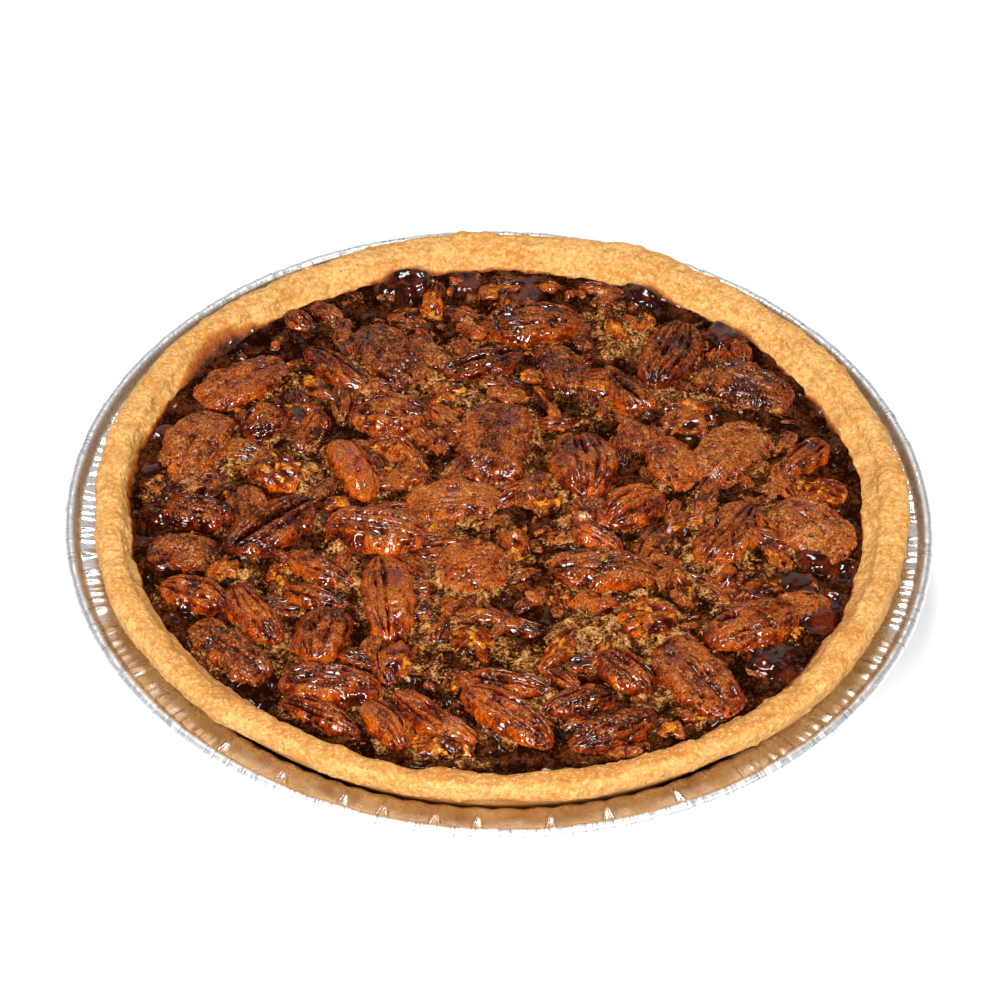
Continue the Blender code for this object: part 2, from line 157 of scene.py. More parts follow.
def gridNormals(grid):
    # unit cross product of the steps along the columns, which join up, and along the rows
    across = np.roll(grid, -1, axis=1) - np.roll(grid, 1, axis=1)
    along = np.gradient(grid, axis=0)
    normal = np.cross(across, along)
    return normal / np.maximum(np.linalg.norm(normal, axis=-1, keepdims=True), 1e-9)


def nodePoints(name):
    # the corners of one of the frame's solids, in millimetres
    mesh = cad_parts[name].data
    points = np.empty(len(mesh.vertices) * 3, dtype=np.float32)
    mesh.vertices.foreach_get("co", points)
    return points.reshape(-1, 3).astype(float) / mm


def nodeTriangles(name):
    # the three corners of each triangle of a solid, in millimetres
    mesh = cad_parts[name].data
    mesh.calc_loop_triangles()
    corners = np.empty(len(mesh.loop_triangles) * 3, dtype=np.int32)
    mesh.loop_triangles.foreach_get("vertices", corners)
    return nodePoints(name)[corners.reshape(-1, 3)]


# Material building

def feed(tree, socket, value):
    # a value is another node's output, a number or a colour
    if isinstance(value, bpy.types.NodeSocket):
        tree.links.new(value, socket)
    else:
        socket.default_value = value


def calc(tree, operation, first, second=0.0, third=0.0):
    # one Math node: MULTIPLY_ADD is first x second + third, the others take two values
    made = tree.nodes.new("ShaderNodeMath")
    made.operation = operation
    for socket, value in zip(made.inputs, (first, second, third)):
        feed(tree, socket, value)
    return made.outputs[0]


def sway(tree, value, amount, base):
    # base + amount (value - 1/2)
    return calc(tree, "MULTIPLY_ADD", calc(tree, "SUBTRACT", value, 0.5), amount, base)


def span(tree, value, start, end, low=0.0, high=1.0):
    # eased step from low to high while the value goes from start to end
    made = tree.nodes.new("ShaderNodeMapRange")
    made.interpolation_type = "SMOOTHSTEP"
    for label, given in (("From Min", start), ("From Max", end), ("To Min", low), ("To Max", high)):
        feed(tree, made.inputs[label], given)
    feed(tree, made.inputs["Value"], value)
    return made.outputs["Result"]


def blend(tree, share, first, second, mode="MIX"):
    # first (1 - share) + second x share, or with MULTIPLY first x second in place of second
    made = tree.nodes.new("ShaderNodeMix")
    made.data_type = "RGBA"
    made.blend_type = mode
    feed(tree, made.inputs[0], share)
    for socket, value in ((made.inputs[6], first), (made.inputs[7], second)):
        feed(tree, socket, (*value, 1.0) if isinstance(value, tuple) else value)
    return made.outputs[2]


def spots(tree, size, vector=None, detail=2.0, rough=0.5, warp=0.0):
    # cloudy noise whose features measure about this many millimetres
    made = tree.nodes.new("ShaderNodeTexNoise")
    made.inputs["Scale"].default_value = 1.0 / (size * mm)
    made.inputs["Detail"].default_value = detail
    made.inputs["Roughness"].default_value = rough
    made.inputs["Distortion"].default_value = warp
    feed(tree, made.inputs["Vector"], vector or objectPlace(tree))
    return made.outputs["Fac"]


def objectPlace(tree):
    # Object coordinates from the one such node that a material has
    for made in tree.nodes:
        if made.bl_idname == "ShaderNodeTexCoord":
            return made.outputs["Object"]
    return tree.nodes.new("ShaderNodeTexCoord").outputs["Object"]


def cellField(tree, size):
    # distance, in cells of this many millimetres, to the nearest of the cells' own points
    made = tree.nodes.new("ShaderNodeTexVoronoi")
    made.inputs["Scale"].default_value = 1.0 / (size * mm)
    feed(tree, made.inputs["Vector"], objectPlace(tree))
    return made.outputs["Distance"]


def own(tree, name):
    # the value of this name that the mesh holds for each point
    made = tree.nodes.new("ShaderNodeAttribute")
    made.attribute_name = name
    return made.outputs["Fac"]


def bump(tree, height, strength, distance, below=None):
    # tilts the normal by the slope of strength x distance, in millimetres, x height
    made = tree.nodes.new("ShaderNodeBump")
    made.inputs["Strength"].default_value = strength
    made.inputs["Distance"].default_value = distance * mm
    feed(tree, made.inputs["Height"], height)
    if below is not None:
        tree.links.new(below, made.inputs["Normal"])
    return made.outputs["Normal"]


def startMaterial(name, **settings):
    # a material with these settings of its Principled shader, an underscore standing for a space
    material = bpy.data.materials.new(name)
    material.use_nodes = True
    shader = material.node_tree.nodes["Principled BSDF"]
    for label, value in settings.items():
        shader.inputs[label.replace("_", " ")].default_value = value
    return material, material.node_tree, shader


def startGroup(name, takes, gives):
    # a node group with these named inputs, their values, and these named outputs
    group = bpy.data.node_groups.new(name, "ShaderNodeTree")
    for label, value in takes.items():
        made = group.interface.new_socket(name=label, in_out="INPUT", socket_type="NodeSocketFloat")
        made.default_value = value
    for label in gives:
        group.interface.new_socket(name=label, in_out="OUTPUT", socket_type="NodeSocketFloat")
    return group, group.nodes.new("NodeGroupInput").outputs, group.nodes.new("NodeGroupOutput").inputs


def useGroup(tree, group, **values):
    # the group in a material, with that material's own values
    made = tree.nodes.new("ShaderNodeGroup")
    made.node_tree = group
    for label, value in values.items():
        feed(tree, made.inputs[label], value)
    return made.outputs


def makeFrothGroup():
    # baked froth: tan stipple where cover + two noises passes a level, broken by round pores
    gives = ("Mask", "Pore", "Height", "Tone")
    group, given, wanted = startGroup("baked froth", {"Cover": 0.5}, gives)
    patches = spots(group, 3.4, detail=2.0, rough=0.6, warp=1.0)
    fine = spots(group, 0.75, detail=2.0, rough=0.7)
    stipple = sway(group, fine, 1.9, sway(group, patches, 1.9, given["Cover"]))
    mask = span(group, stipple, 0.26, 0.84)
    large = span(group, cellField(group, 1.9), 0.24, 0.14)
    small = span(group, cellField(group, 0.85), 0.24, 0.12)
    here = span(group, spots(group, 2.2), 0.46, 0.58)
    pore = calc(group, "MULTIPLY", calc(group, "MAXIMUM", large, small), here)
    height = calc(group, "SUBTRACT", calc(group, "MULTIPLY", mask, 0.5), pore)
    feed(group, wanted["Mask"], mask)
    feed(group, wanted["Pore"], pore)
    feed(group, wanted["Height"], calc(group, "MULTIPLY_ADD", fine, 0.7, height))
    feed(group, wanted["Tone"], span(group, stipple, 0.45, 1.25))
    return group


def makeGrainGroup():
    # crumb for baked surfaces: coarse and fine noise, and rounded grains 1 - the distance to a cell's point
    group, given, wanted = startGroup("baked grain", {"Fine": 0.5}, ("Height", "Tone"))
    coarse = spots(group, 1.3, detail=2.0, rough=0.6)
    fine = spots(group, 0.42, detail=1.0, rough=0.6)
    crumb = calc(group, "SUBTRACT", 1.0, cellField(group, 1.15))
    both = calc(group, "MULTIPLY_ADD", crumb, 0.7, coarse)
    feed(group, wanted["Height"], calc(group, "MULTIPLY_ADD", fine, given["Fine"], both))
    level = calc(group, "MULTIPLY_ADD", crumb, 0.3, calc(group, "MULTIPLY", coarse, 0.3))
    feed(group, wanted["Tone"], calc(group, "MULTIPLY_ADD", fine, 0.4, level))
    return group


frothGroup = makeFrothGroup()
grainGroup = makeGrainGroup()


# Filling: the surface that the nuts lie in

filling = dict(
    edgeHeight=32.0, crown=1.5, wave=0.45,       # the solid's own top
    cells=300,                                   # grid cells across the pie
    overlap=1.6,                                 # how far the syrup runs up the pastry
    climb=1.35, climbWidth=1.25,                 # syrup drawn up round a nut
    # domes of boiled syrup at the edge: x, y, radius, rise
    domes=(
        (-29.6, 91.5, 6.6, 4.2), (-35.5, 88.5, 3.4, 1.8), (41.5, 89.0, 5.2, 2.8), (64.5, 71.5, 6.4, 3.0),
        (87.5, -22.0, 4.4, 2.2), (84.0, -31.0, 5.6, 1.3), (74.5, -59.5, 6.6, 1.8), (5.0, 90.5, 7.0, 1.2),
        (-12.0, 93.5, 5.0, 1.0), (88.0, -45.0, 4.6, 0.9), (-96.0, 24.0, 3.6, 1.0), (-99.0, 8.0, 3.0, 0.9),
    ),
    # glossy hollows: x, y, radius, depth
    pools=(
        (22.2, 70.3, 3.2, 1.8), (45.3, -22.8, 2.8, 2.6), (20.5, -67.8, 5.4, 3.6), (27.5, -67.5, 3.2, 2.4),
        (61.0, 34.0, 3.0, 1.8), (82.0, -66.0, 4.0, 1.4), (91.0, -37.0, 4.4, 1.4), (95.5, -26.0, 3.4, 1.2),
    ),
    frothMost=0.68,                              # froth is nowhere thicker than this
    under=((-0.5, 30.6), (-6.5, 19.0), (-13.5, 7.8), (-16.5, 6.4)),  # side: past the pastry's edge, height
    dark=(0.010, 0.002, 0.0005), brown=(0.085, 0.022, 0.006), red=(0.100, 0.011, 0.002),
    tan=(0.24, 0.075, 0.018), pale=(0.66, 0.335, 0.110),
)


def fillingTop(x, y):
    # edge + crown (1 - (r/100)^2) + wave (sin(x/10 + 0.4) cos(y/11 + 1) + sin((x - y)/13) / 2)
    reach = np.minimum(np.hypot(x, y) / 100.0, 1.0)
    wave = np.sin(x / 10.0 + 0.4) * np.cos(y / 11.0 + 1.0) + 0.5 * np.sin((x - y) / 13.0)
    return filling["edgeHeight"] + filling["crown"] * (1.0 - reach ** 2) + filling["wave"] * wave


def crustRings():
    # the pastry's rim and inner edge, read from the solid at its own equal angles
    points = nodePoints("pastry_crust")
    radius = np.hypot(points[:, 0], points[:, 1])
    sides = 72
    column = np.round(np.arctan2(points[:, 1], points[:, 0]) / tau * sides).astype(int) % sides
    rings = {label: np.zeros(sides) for label in ("outer", "middle", "top", "inner")}
    for side in range(sides):
        mine = column == side
        high = mine & (points[:, 2] > filling["edgeHeight"] + 0.3)
        top = points[high, 2].max()
        rings["top"][side] = top
        rings["outer"][side] = radius[high].max()
        rings["middle"][side] = radius[high & (points[:, 2] > top - 0.12)].mean()
        level = mine & (np.abs(points[:, 2] - filling["edgeHeight"]) < 0.05) & (radius > 90.0)
        rings["inner"][side] = radius[level].min()
    return rings


rings = crustRings()


def roundThePie(label, angle):
    # the ring's value at an angle, in a straight line between the solid's sides
    values = rings[label]
    place = (angle / tau) % 1.0 * len(values)
    index = np.floor(place).astype(int)
    share = place - index
    return values[index % len(values)] * (1.0 - share) + values[(index + 1) % len(values)] * share


# Pecans: place, turn and size come from each solid

nuts = dict(
    rowStep=0.36, topColumns=60, underColumns=10,
    sink=2.6,                                    # how deep a nut sits in the filling
    stand=0.90,                                  # share of the solid's height that the ribbed nut reaches
    # power: the sides' taper to the tips, lower is blunter; full: the two powers of the rounded top;
    # outline: power of the plan that syrup and crumbs keep to; ribs: height and pitch;
    # grooves: place across (-1 to 1), depth, width; lumps, pits and crease: heights
    forms=dict(
        half=dict(
            power=0.50, full=(3.2, 0.56), ribs=(0.22, 1.5), lumps=0.46, pits=0.8, crease=0.50,
            slot="glazed_pecan", outline=2.4, froth=0.10,
            grooves=((-0.42, 2.2, 0.055), (0.03, 1.3, 0.045), (0.40, 2.2, 0.055), (-0.70, 0.8, 0.05)),
        ),
        flat=dict(
            power=0.34, full=(5.5, 0.40), ribs=(0.30, 1.55), lumps=0.44, pits=1.2, crease=0.50,
            slot="frothy_pecan", outline=3.2, froth=0.34,
            grooves=((0.0, 1.1, 0.045), (-0.55, 0.6, 0.04), (0.5, 0.6, 0.04)),
        ),
        split=dict(
            power=0.46, full=(3.2, 0.55), ribs=(0.22, 1.5), lumps=0.44, pits=0.8, crease=0.45,
            slot="glazed_pecan", outline=2.4, froth=0.10,
            grooves=((0.10, 3.8, 0.085), (-0.48, 1.3, 0.05), (0.55, 1.6, 0.05)),
        ),
        piece=dict(
            power=0.38, full=(3.2, 0.50), ribs=(0.18, 1.6), lumps=0.85, pits=0.7, crease=0.45,
            slot="glazed_pecan", outline=2.4, froth=0.10,
            grooves=((0.15, 1.4, 0.08), (-0.4, 1.2, 0.06)),
        ),
    ),
    # what sets single nuts apart: tone turns them orange, dark mahogany, froth tan, shine glossy
    looks=dict(
        half_01=dict(tone=0.15, froth=0.00),
        half_02=dict(tone=0.0, dark=0.05, froth=0.12),
        half_03=dict(tone=0.0, dark=0.10, froth=0.10,
                     grooves=((-0.45, 2.4, 0.06), (-0.15, 2.0, 0.05), (0.15, 2.2, 0.06), (0.5, 1.6, 0.05))),
        half_05=dict(tone=0.2, froth=0.12, dark=0.0),
        half_06=dict(tone=0.1, dark=0.0, froth=0.30,
                     grooves=((-0.5, 2.0, 0.05), (-0.2, 2.2, 0.05), (0.12, 2.4, 0.06), (0.45, 1.4, 0.05))),
        half_07=dict(turn=0.645, tone=0.1, dark=0.1),
        half_08=dict(tone=0.05, dark=0.2, froth=-0.1),
        half_09=dict(tone=0.30, froth=-0.3, dark=0.0, lumps=0.22, shine=0.3, grooves=((0.0, 0.5, 0.05),)),
        half_10=dict(tone=0.22, dark=0.0, froth=0.1, shine=0.2,
                     grooves=((-0.35, 1.5, 0.07), (0.10, 1.7, 0.06), (0.45, 1.5, 0.06))),
        half_11=dict(tone=0.1, froth=0.42, dark=0.0),
        half_12=dict(turn=1.70, tone=0.18, dark=0.0, froth=0.15, shine=0.2,
                     grooves=((-0.66, 1.4, 0.05), (-0.36, 2.4, 0.06), (-0.06, 2.6, 0.05), (0.24, 2.4, 0.06),
                              (0.56, 1.6, 0.05))),
        half_13=dict(turn=2.51, tone=0.28, dark=0.0, froth=-0.15, shine=0.4),
        half_15=dict(tone=0.25, dark=0.0, froth=0.1),
        half_16=dict(tone=0.15, dark=0.0, froth=0.25),
        half_18=dict(tone=0.1, dark=0.0, froth=0.2,
                     grooves=((-0.3, 2.0, 0.07), (0.2, 2.2, 0.07), (0.6, 1.2, 0.05))),
        half_19=dict(tone=0.05, dark=0.0, froth=0.28),
        half_21=dict(tone=0.12, dark=0.0, froth=0.25),
        half_22=dict(tone=0.12, dark=0.0, froth=0.05, shine=0.3),
        half_24=dict(tone=0.25, dark=0.0, froth=-0.25, shine=0.4),
        half_25=dict(tone=0.15, dark=0.0, froth=0.0, shine=0.2),
        split_03=dict(tone=0.0, dark=0.10, grooves=((0.05, 4.4, 0.10), (-0.45, 2.4, 0.07), (0.5, 1.6, 0.05))),
        split_04=dict(tone=0.25, dark=0.0, froth=0.2,
                      grooves=((0.12, 3.0, 0.05), (0.45, 2.4, 0.05), (0.72, 1.2, 0.04))),
        flat_01=dict(tone=0.22, froth=0.32, dark=0.0),
        flat_05=dict(tone=0.18, froth=0.62, dark=0.0),
        flat_06=dict(tone=0.22, froth=0.62, dark=0.0),
        flat_08=dict(tone=0.15, froth=0.52, dark=0.0),
        flat_10=dict(tone=0.10, froth=0.22, dark=0.0, ribs=(0.60, 1.5)),
        flat_11=dict(tone=0.35, froth=0.50, dark=0.0),
        flat_12=dict(tone=0.40, froth=0.42, dark=0.0),
        flat_14=dict(tone=0.08, froth=0.32, dark=0.0),
        piece_02=dict(tone=0.0, dark=0.10, froth=-0.2, shine=0.4),
    ),
    deep=(0.026, 0.002, 0.0004), red=(0.200, 0.018, 0.001), orange=(0.60, 0.105, 0.003),
    top=(0.270, 0.072, 0.017), topDark=(0.080, 0.016, 0.003), tan=(0.62, 0.265, 0.080),
    # near-black painted shade for pores, deep grooves and holes
    meat=(0.78, 0.27, 0.020), pit=(0.003, 0.001, 0.001),
    coatRoughness=dict(glazed_pecan=0.09, frothy_pecan=0.14),
)


def readNut(name):
    # centre, turn, length and width from the solid's plan, taken as an ellipse with the same second
    # moments: each axis is four times the root of a moment divided by the area
    corners = nodeTriangles(name)
    flat = corners[:, :, :2]
    edgeA, edgeB = flat[:, 1] - flat[:, 0], flat[:, 2] - flat[:, 0]
    area = 0.5 * (edgeA[:, 0] * edgeB[:, 1] - edgeA[:, 1] * edgeB[:, 0])
    area = np.maximum(area, 0.0)                 # only what faces up
    middle = flat.mean(axis=1)
    centre = (middle * area[:, None]).sum(axis=0) / area.sum()
    spread = np.zeros((2, 2))
    for point in (flat[:, 0], flat[:, 1], flat[:, 2], middle * 3.0 - centre * 2.0):
        away = point - centre
        spread += np.einsum("ni,nj,n->ij", away, away, area) / 12.0
    values, axes = np.linalg.eigh(spread / area.sum())
    turn = math.atan2(axes[1, 1], axes[0, 1]) % math.pi
    kind = name.split("_")[1]
    length, width = 4.0 * math.sqrt(values[1]), 4.0 * math.sqrt(values[0])
    rise = corners[:, :, 2].max() - fillingTop(*centre)
    return dict(
        name=name, kind=kind, x=centre[0], y=centre[1], turn=turn, length=length, width=width, rise=rise,
    )


nutNames = [name for name in sorted(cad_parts) if name.startswith("pecan_") and name != "pecan_filling"]
nutList = [readNut(name) for name in nutNames]
print("pecans read from the frame:", len(nutList))


def onFilling(x, y, turn, a, b, c):
    # a point a along and b across a body turned about x, y, standing c above the filling's top there
    px = x + a * math.cos(turn) - b * math.sin(turn)
    py = y + a * math.sin(turn) + b * math.cos(turn)
    return np.stack([px, py, fillingTop(px, py) + c], axis=-1)


def nutReach(nut, x, y):
    # signed distance, in millimetres, from a nut's outline taken as |a/A|^n + |b/B|^n = 1
    cosTurn, sinTurn = math.cos(nut["turn"]), math.sin(nut["turn"])
    along = (x - nut["x"]) * cosTurn + (y - nut["y"]) * sinTurn
    across = (y - nut["y"]) * cosTurn - (x - nut["x"]) * sinTurn
    power = nuts["forms"][nut["kind"]]["outline"]
    reach = (np.abs(along / (0.5 * nut["length"])) ** power + np.abs(across / (0.5 * nut["width"])) ** power)
    return (reach ** (1.0 / power) - 1.0) * 0.5 * nut["width"]


def nutGrooves(grooves, draw, seed, offset, share, along, across):
    # depth of the long grooves: a valley exp(-(|across - line| / width)^1.3) about each wandering line,
    # deeper here and there, that runs out towards the tips
    total = np.zeros_like(along)
    for index, (place, depth, wide) in enumerate(grooves):
        place = place + draw.uniform(-0.05, 0.05)
        path = np.stack([along / 5.0, 0.0 * along, 0.0 * along + 3.1 * index], axis=-1) + offset
        line = place * (1.0 - 0.35 * share ** 2) + 0.07 * lumps(path, 1.0, seed + index)
        deep = 0.62 + 0.55 * lumps(path * 1.4, 1.0, seed + 11 + index)
        valley = np.exp(-(np.abs(across - line) / wide) ** 1.3) * ease(1.0 - np.abs(share), 0.0, 0.20)
        total += depth * valley * np.clip(deep, 0.1, 1.4)
    return total


def nutRibs(pitch, seed, spot, offset, along, across, half):
    # ribs 1 - |sin(pi phase)|^0.7 that branch from the middle like a feather's, fainter in patches
    phase = (along + 0.55 * np.abs(across) * half) / pitch
    phase = phase + 0.9 * lumps(spot / 3.5 + offset, 1.0, seed + 21)
    ribs = 1.0 - np.abs(np.sin(math.pi * phase)) ** 0.7
    return ribs * (0.35 + 0.65 * ease(lumps(spot / 6.0 + offset, 1.0, seed + 22), -0.3, 0.5))


def nutHoles(seed, place, groove):
    # 1 near the points of some cells: round holes anywhere, oval ones strung along the grooves
    away, value = pits(place, 2.3, seed + 41)
    hole = ease(away, 0.36, 0.10) * (value > 0.0)
    away, value = pits(place * np.array([0.42, 1.3, 0.4]), 1.5, seed + 43)
    return np.maximum(hole, ease(away, 0.48, 0.18) * (value > -0.2) * ease(groove, 0.25, 0.9))


def nutCreases(seed, place):
    # winding creases lie where a cloudy value, drawn out along the nut, passes through zero
    winding = lumps(place * np.array([0.42, 1.0, 0.35]), 2.5, seed + 51)
    return np.exp(-(np.abs(winding) / 0.20) ** 1.4) * ease(lumps(place, 5.0, seed + 52), -0.5, 0.3)


def breakOff(count, draw, rise, along, side, up, isTop):
    # broken faces: what stands over a slanting plane is pressed down on it
    meat = np.zeros_like(along)
    for _ in range(count):
        heading = draw.uniform(0.0, tau)
        slant = draw.uniform(0.25, 0.7)
        level = rise * draw.uniform(0.62, 0.92)
        plane = level - slant * (along * math.cos(heading) + side * math.sin(heading))
        over = np.where(isTop > 0.0, up - plane, -1.0)
        meat = np.maximum(meat, ease(over, 0.0, 0.5))
        up = np.where(over > 0.0, plane + 0.12 * over, up)
    return meat, up


def nutBody(nut, coarse=1.0):
    # a section, crown (1 - |cos|^a)^b above and a half ellipse below, swept from tip to tip along an
    # outline (1 - |share|^2.3)^power, then lowered by grooves, ribs, creases and holes
    form = nuts["forms"][nut["kind"]]
    name, length, width, rise = nut["name"], nut["length"], nut["width"], nut["rise"]
    seed = sum(ord(letter) * (index + 1) for index, letter in enumerate(name))
    draw = random.Random(name)
    bend = draw.uniform(-0.05, 0.05) * length
    lean = draw.uniform(-0.12, 0.12)
    look = {**form, **nuts["looks"].get(name.replace("pecan_", ""), {})}
    rows = int(length / nuts["rowStep"] / coarse)
    position = np.linspace(-1.0, 1.0, rows + 2)[1:-1]
    share = (0.55 * position + 0.45 * np.sin(0.5 * math.pi * position))[:, None]
    top = np.linspace(math.pi, 0.0, int(nuts["topColumns"] / coarse))
    under = np.linspace(0.0, -math.pi, nuts["underColumns"] + 2)[1:-1]
    turn = np.concatenate([top, under])[None, :]
    across = np.cos(turn)
    isTop = (turn >= 0.0).astype(float)
    half = 0.5 * width * (1.0 - np.abs(share) ** 2.3) ** form["power"]
    ragged = np.stack(np.broadcast_arrays(4.0 * across, share * length / 5.0, 0.0), axis=-1)
    half = half * (1.0 + 0.11 * lumps(ragged, 1.0, seed + 3) + 0.05 * lumps(ragged, 0.4, seed + 4))
    swell = (1.0 - np.abs(share) ** 2.6) ** 0.5
    outer, inner = form["full"]
    crown = np.clip(1.0 - np.abs(across) ** outer, 0.0, 1.0) ** inner
    rise = rise * nuts["stand"]
    below = -nuts["sink"] * np.abs(np.sin(turn))
    along = 0.5 * length * share + 0.0 * across
    side = half * across + bend * (1.0 - share ** 2)
    up = np.where(turn >= 0.0, rise * crown * (1.0 + lean * across), below) * swell
    spot = np.stack([along, side, up], axis=-1)
    offset = np.array([seed % 97, seed % 61, seed % 43]) * 3.7
    place = spot + offset

    groove = nutGrooves(look["grooves"], draw, seed, offset, share, along, across)
    height, pitch = look["ribs"]
    ribs = nutRibs(pitch, seed, spot, offset, along, across, half)
    rough = lumps(place, 4.6, seed + 31) + 0.5 * lumps(place, 1.9, seed + 32)
    rough = rough + 0.16 * lumps(place, 0.95, seed + 33)
    hole = nutHoles(seed, place, groove)
    crease = form["crease"] * nutCreases(seed, place)
    chips = 3 if nut["kind"] == "piece" else 0
    meat, up = breakOff(chips, draw, rise, along, side, up, isTop)
    relief = look["lumps"] * rough * (0.4 + 0.6 * swell)
    relief = relief - (height * ribs + crease) * isTop * (1.0 - meat)
    # low spots are darker in colour: partly glaze pooled there, partly painted shade of the crevices
    cavity = ease(relief - 0.5 * groove, 0.25, -0.75)
    relief = relief - (form["pits"] + 0.8 * ease(groove, 0.2, 0.8)) * hole * isTop
    up = up + (relief * np.clip(crown + 0.25, 0.0, 1.0) - groove) * isTop * swell
    side = side + relief * np.sign(across) * np.abs(across) ** 3 * 0.8

    heading = look.get("turn", nut["turn"])
    slope = draw.uniform(-0.05, 0.05), draw.uniform(-0.03, 0.03)

    def seated(a, b, c):
        # a along, b across, c above the filling, tilted a little both ways
        return onFilling(nut["x"], nut["y"], heading, a, b, c + slope[0] * b + slope[1] * a)

    grid = seated(along, side, up)
    tipLow = seated(np.array(-0.5 * length), np.array(0.0), np.array(0.1))
    tipHigh = seated(np.array(0.5 * length), np.array(0.0), np.array(0.1))
    points, faces = turnedBody(grid, tipLow, tipHigh, flip=True)

    facing = -gridNormals(grid)[..., 2]
    crest = ease(facing, 0.45, 0.92) * ease(up, 0.35 * rise, 0.75 * rise) * ease(rough - ribs, -1.1, 0.1)
    # deep grooves and holes are marked for painted shade, which the material turns near-black
    dent = np.clip(ease(groove, 0.9, 2.4) + hole, 0.0, 1.0) * isTop
    whole = np.full(len(points), 1.0)
    attributes = dict(
        groove=withPoles(dent, 0.0, 0.0), hem=withPoles(ease(up, 2.6, 0.6), 1.0, 1.0),
        meat=withPoles(meat, 0.0, 0.0), crest=withPoles(crest, 0.5, 0.5), cavity=withPoles(cavity, 0.5, 0.5),
        # painted contact shadow: darker where the nut meets the filling
        foot=withPoles(ease(up, 1.3, 0.1), 1.0, 1.0),
        lengthwise=withPoles(along + seed, seed - 0.5 * length, seed + 0.5 * length),
        crosswise=withPoles(side + 0.8 * up, 0.0, 0.0),
        shine=whole * look.get("shine", 0.0),
        tone=whole * look.get("tone", draw.uniform(-0.10, 0.22)), froth=whole * look["froth"],
        dark=whole * look.get("dark", draw.uniform(0.0, 0.15)),
    )
    return points, faces, attributes


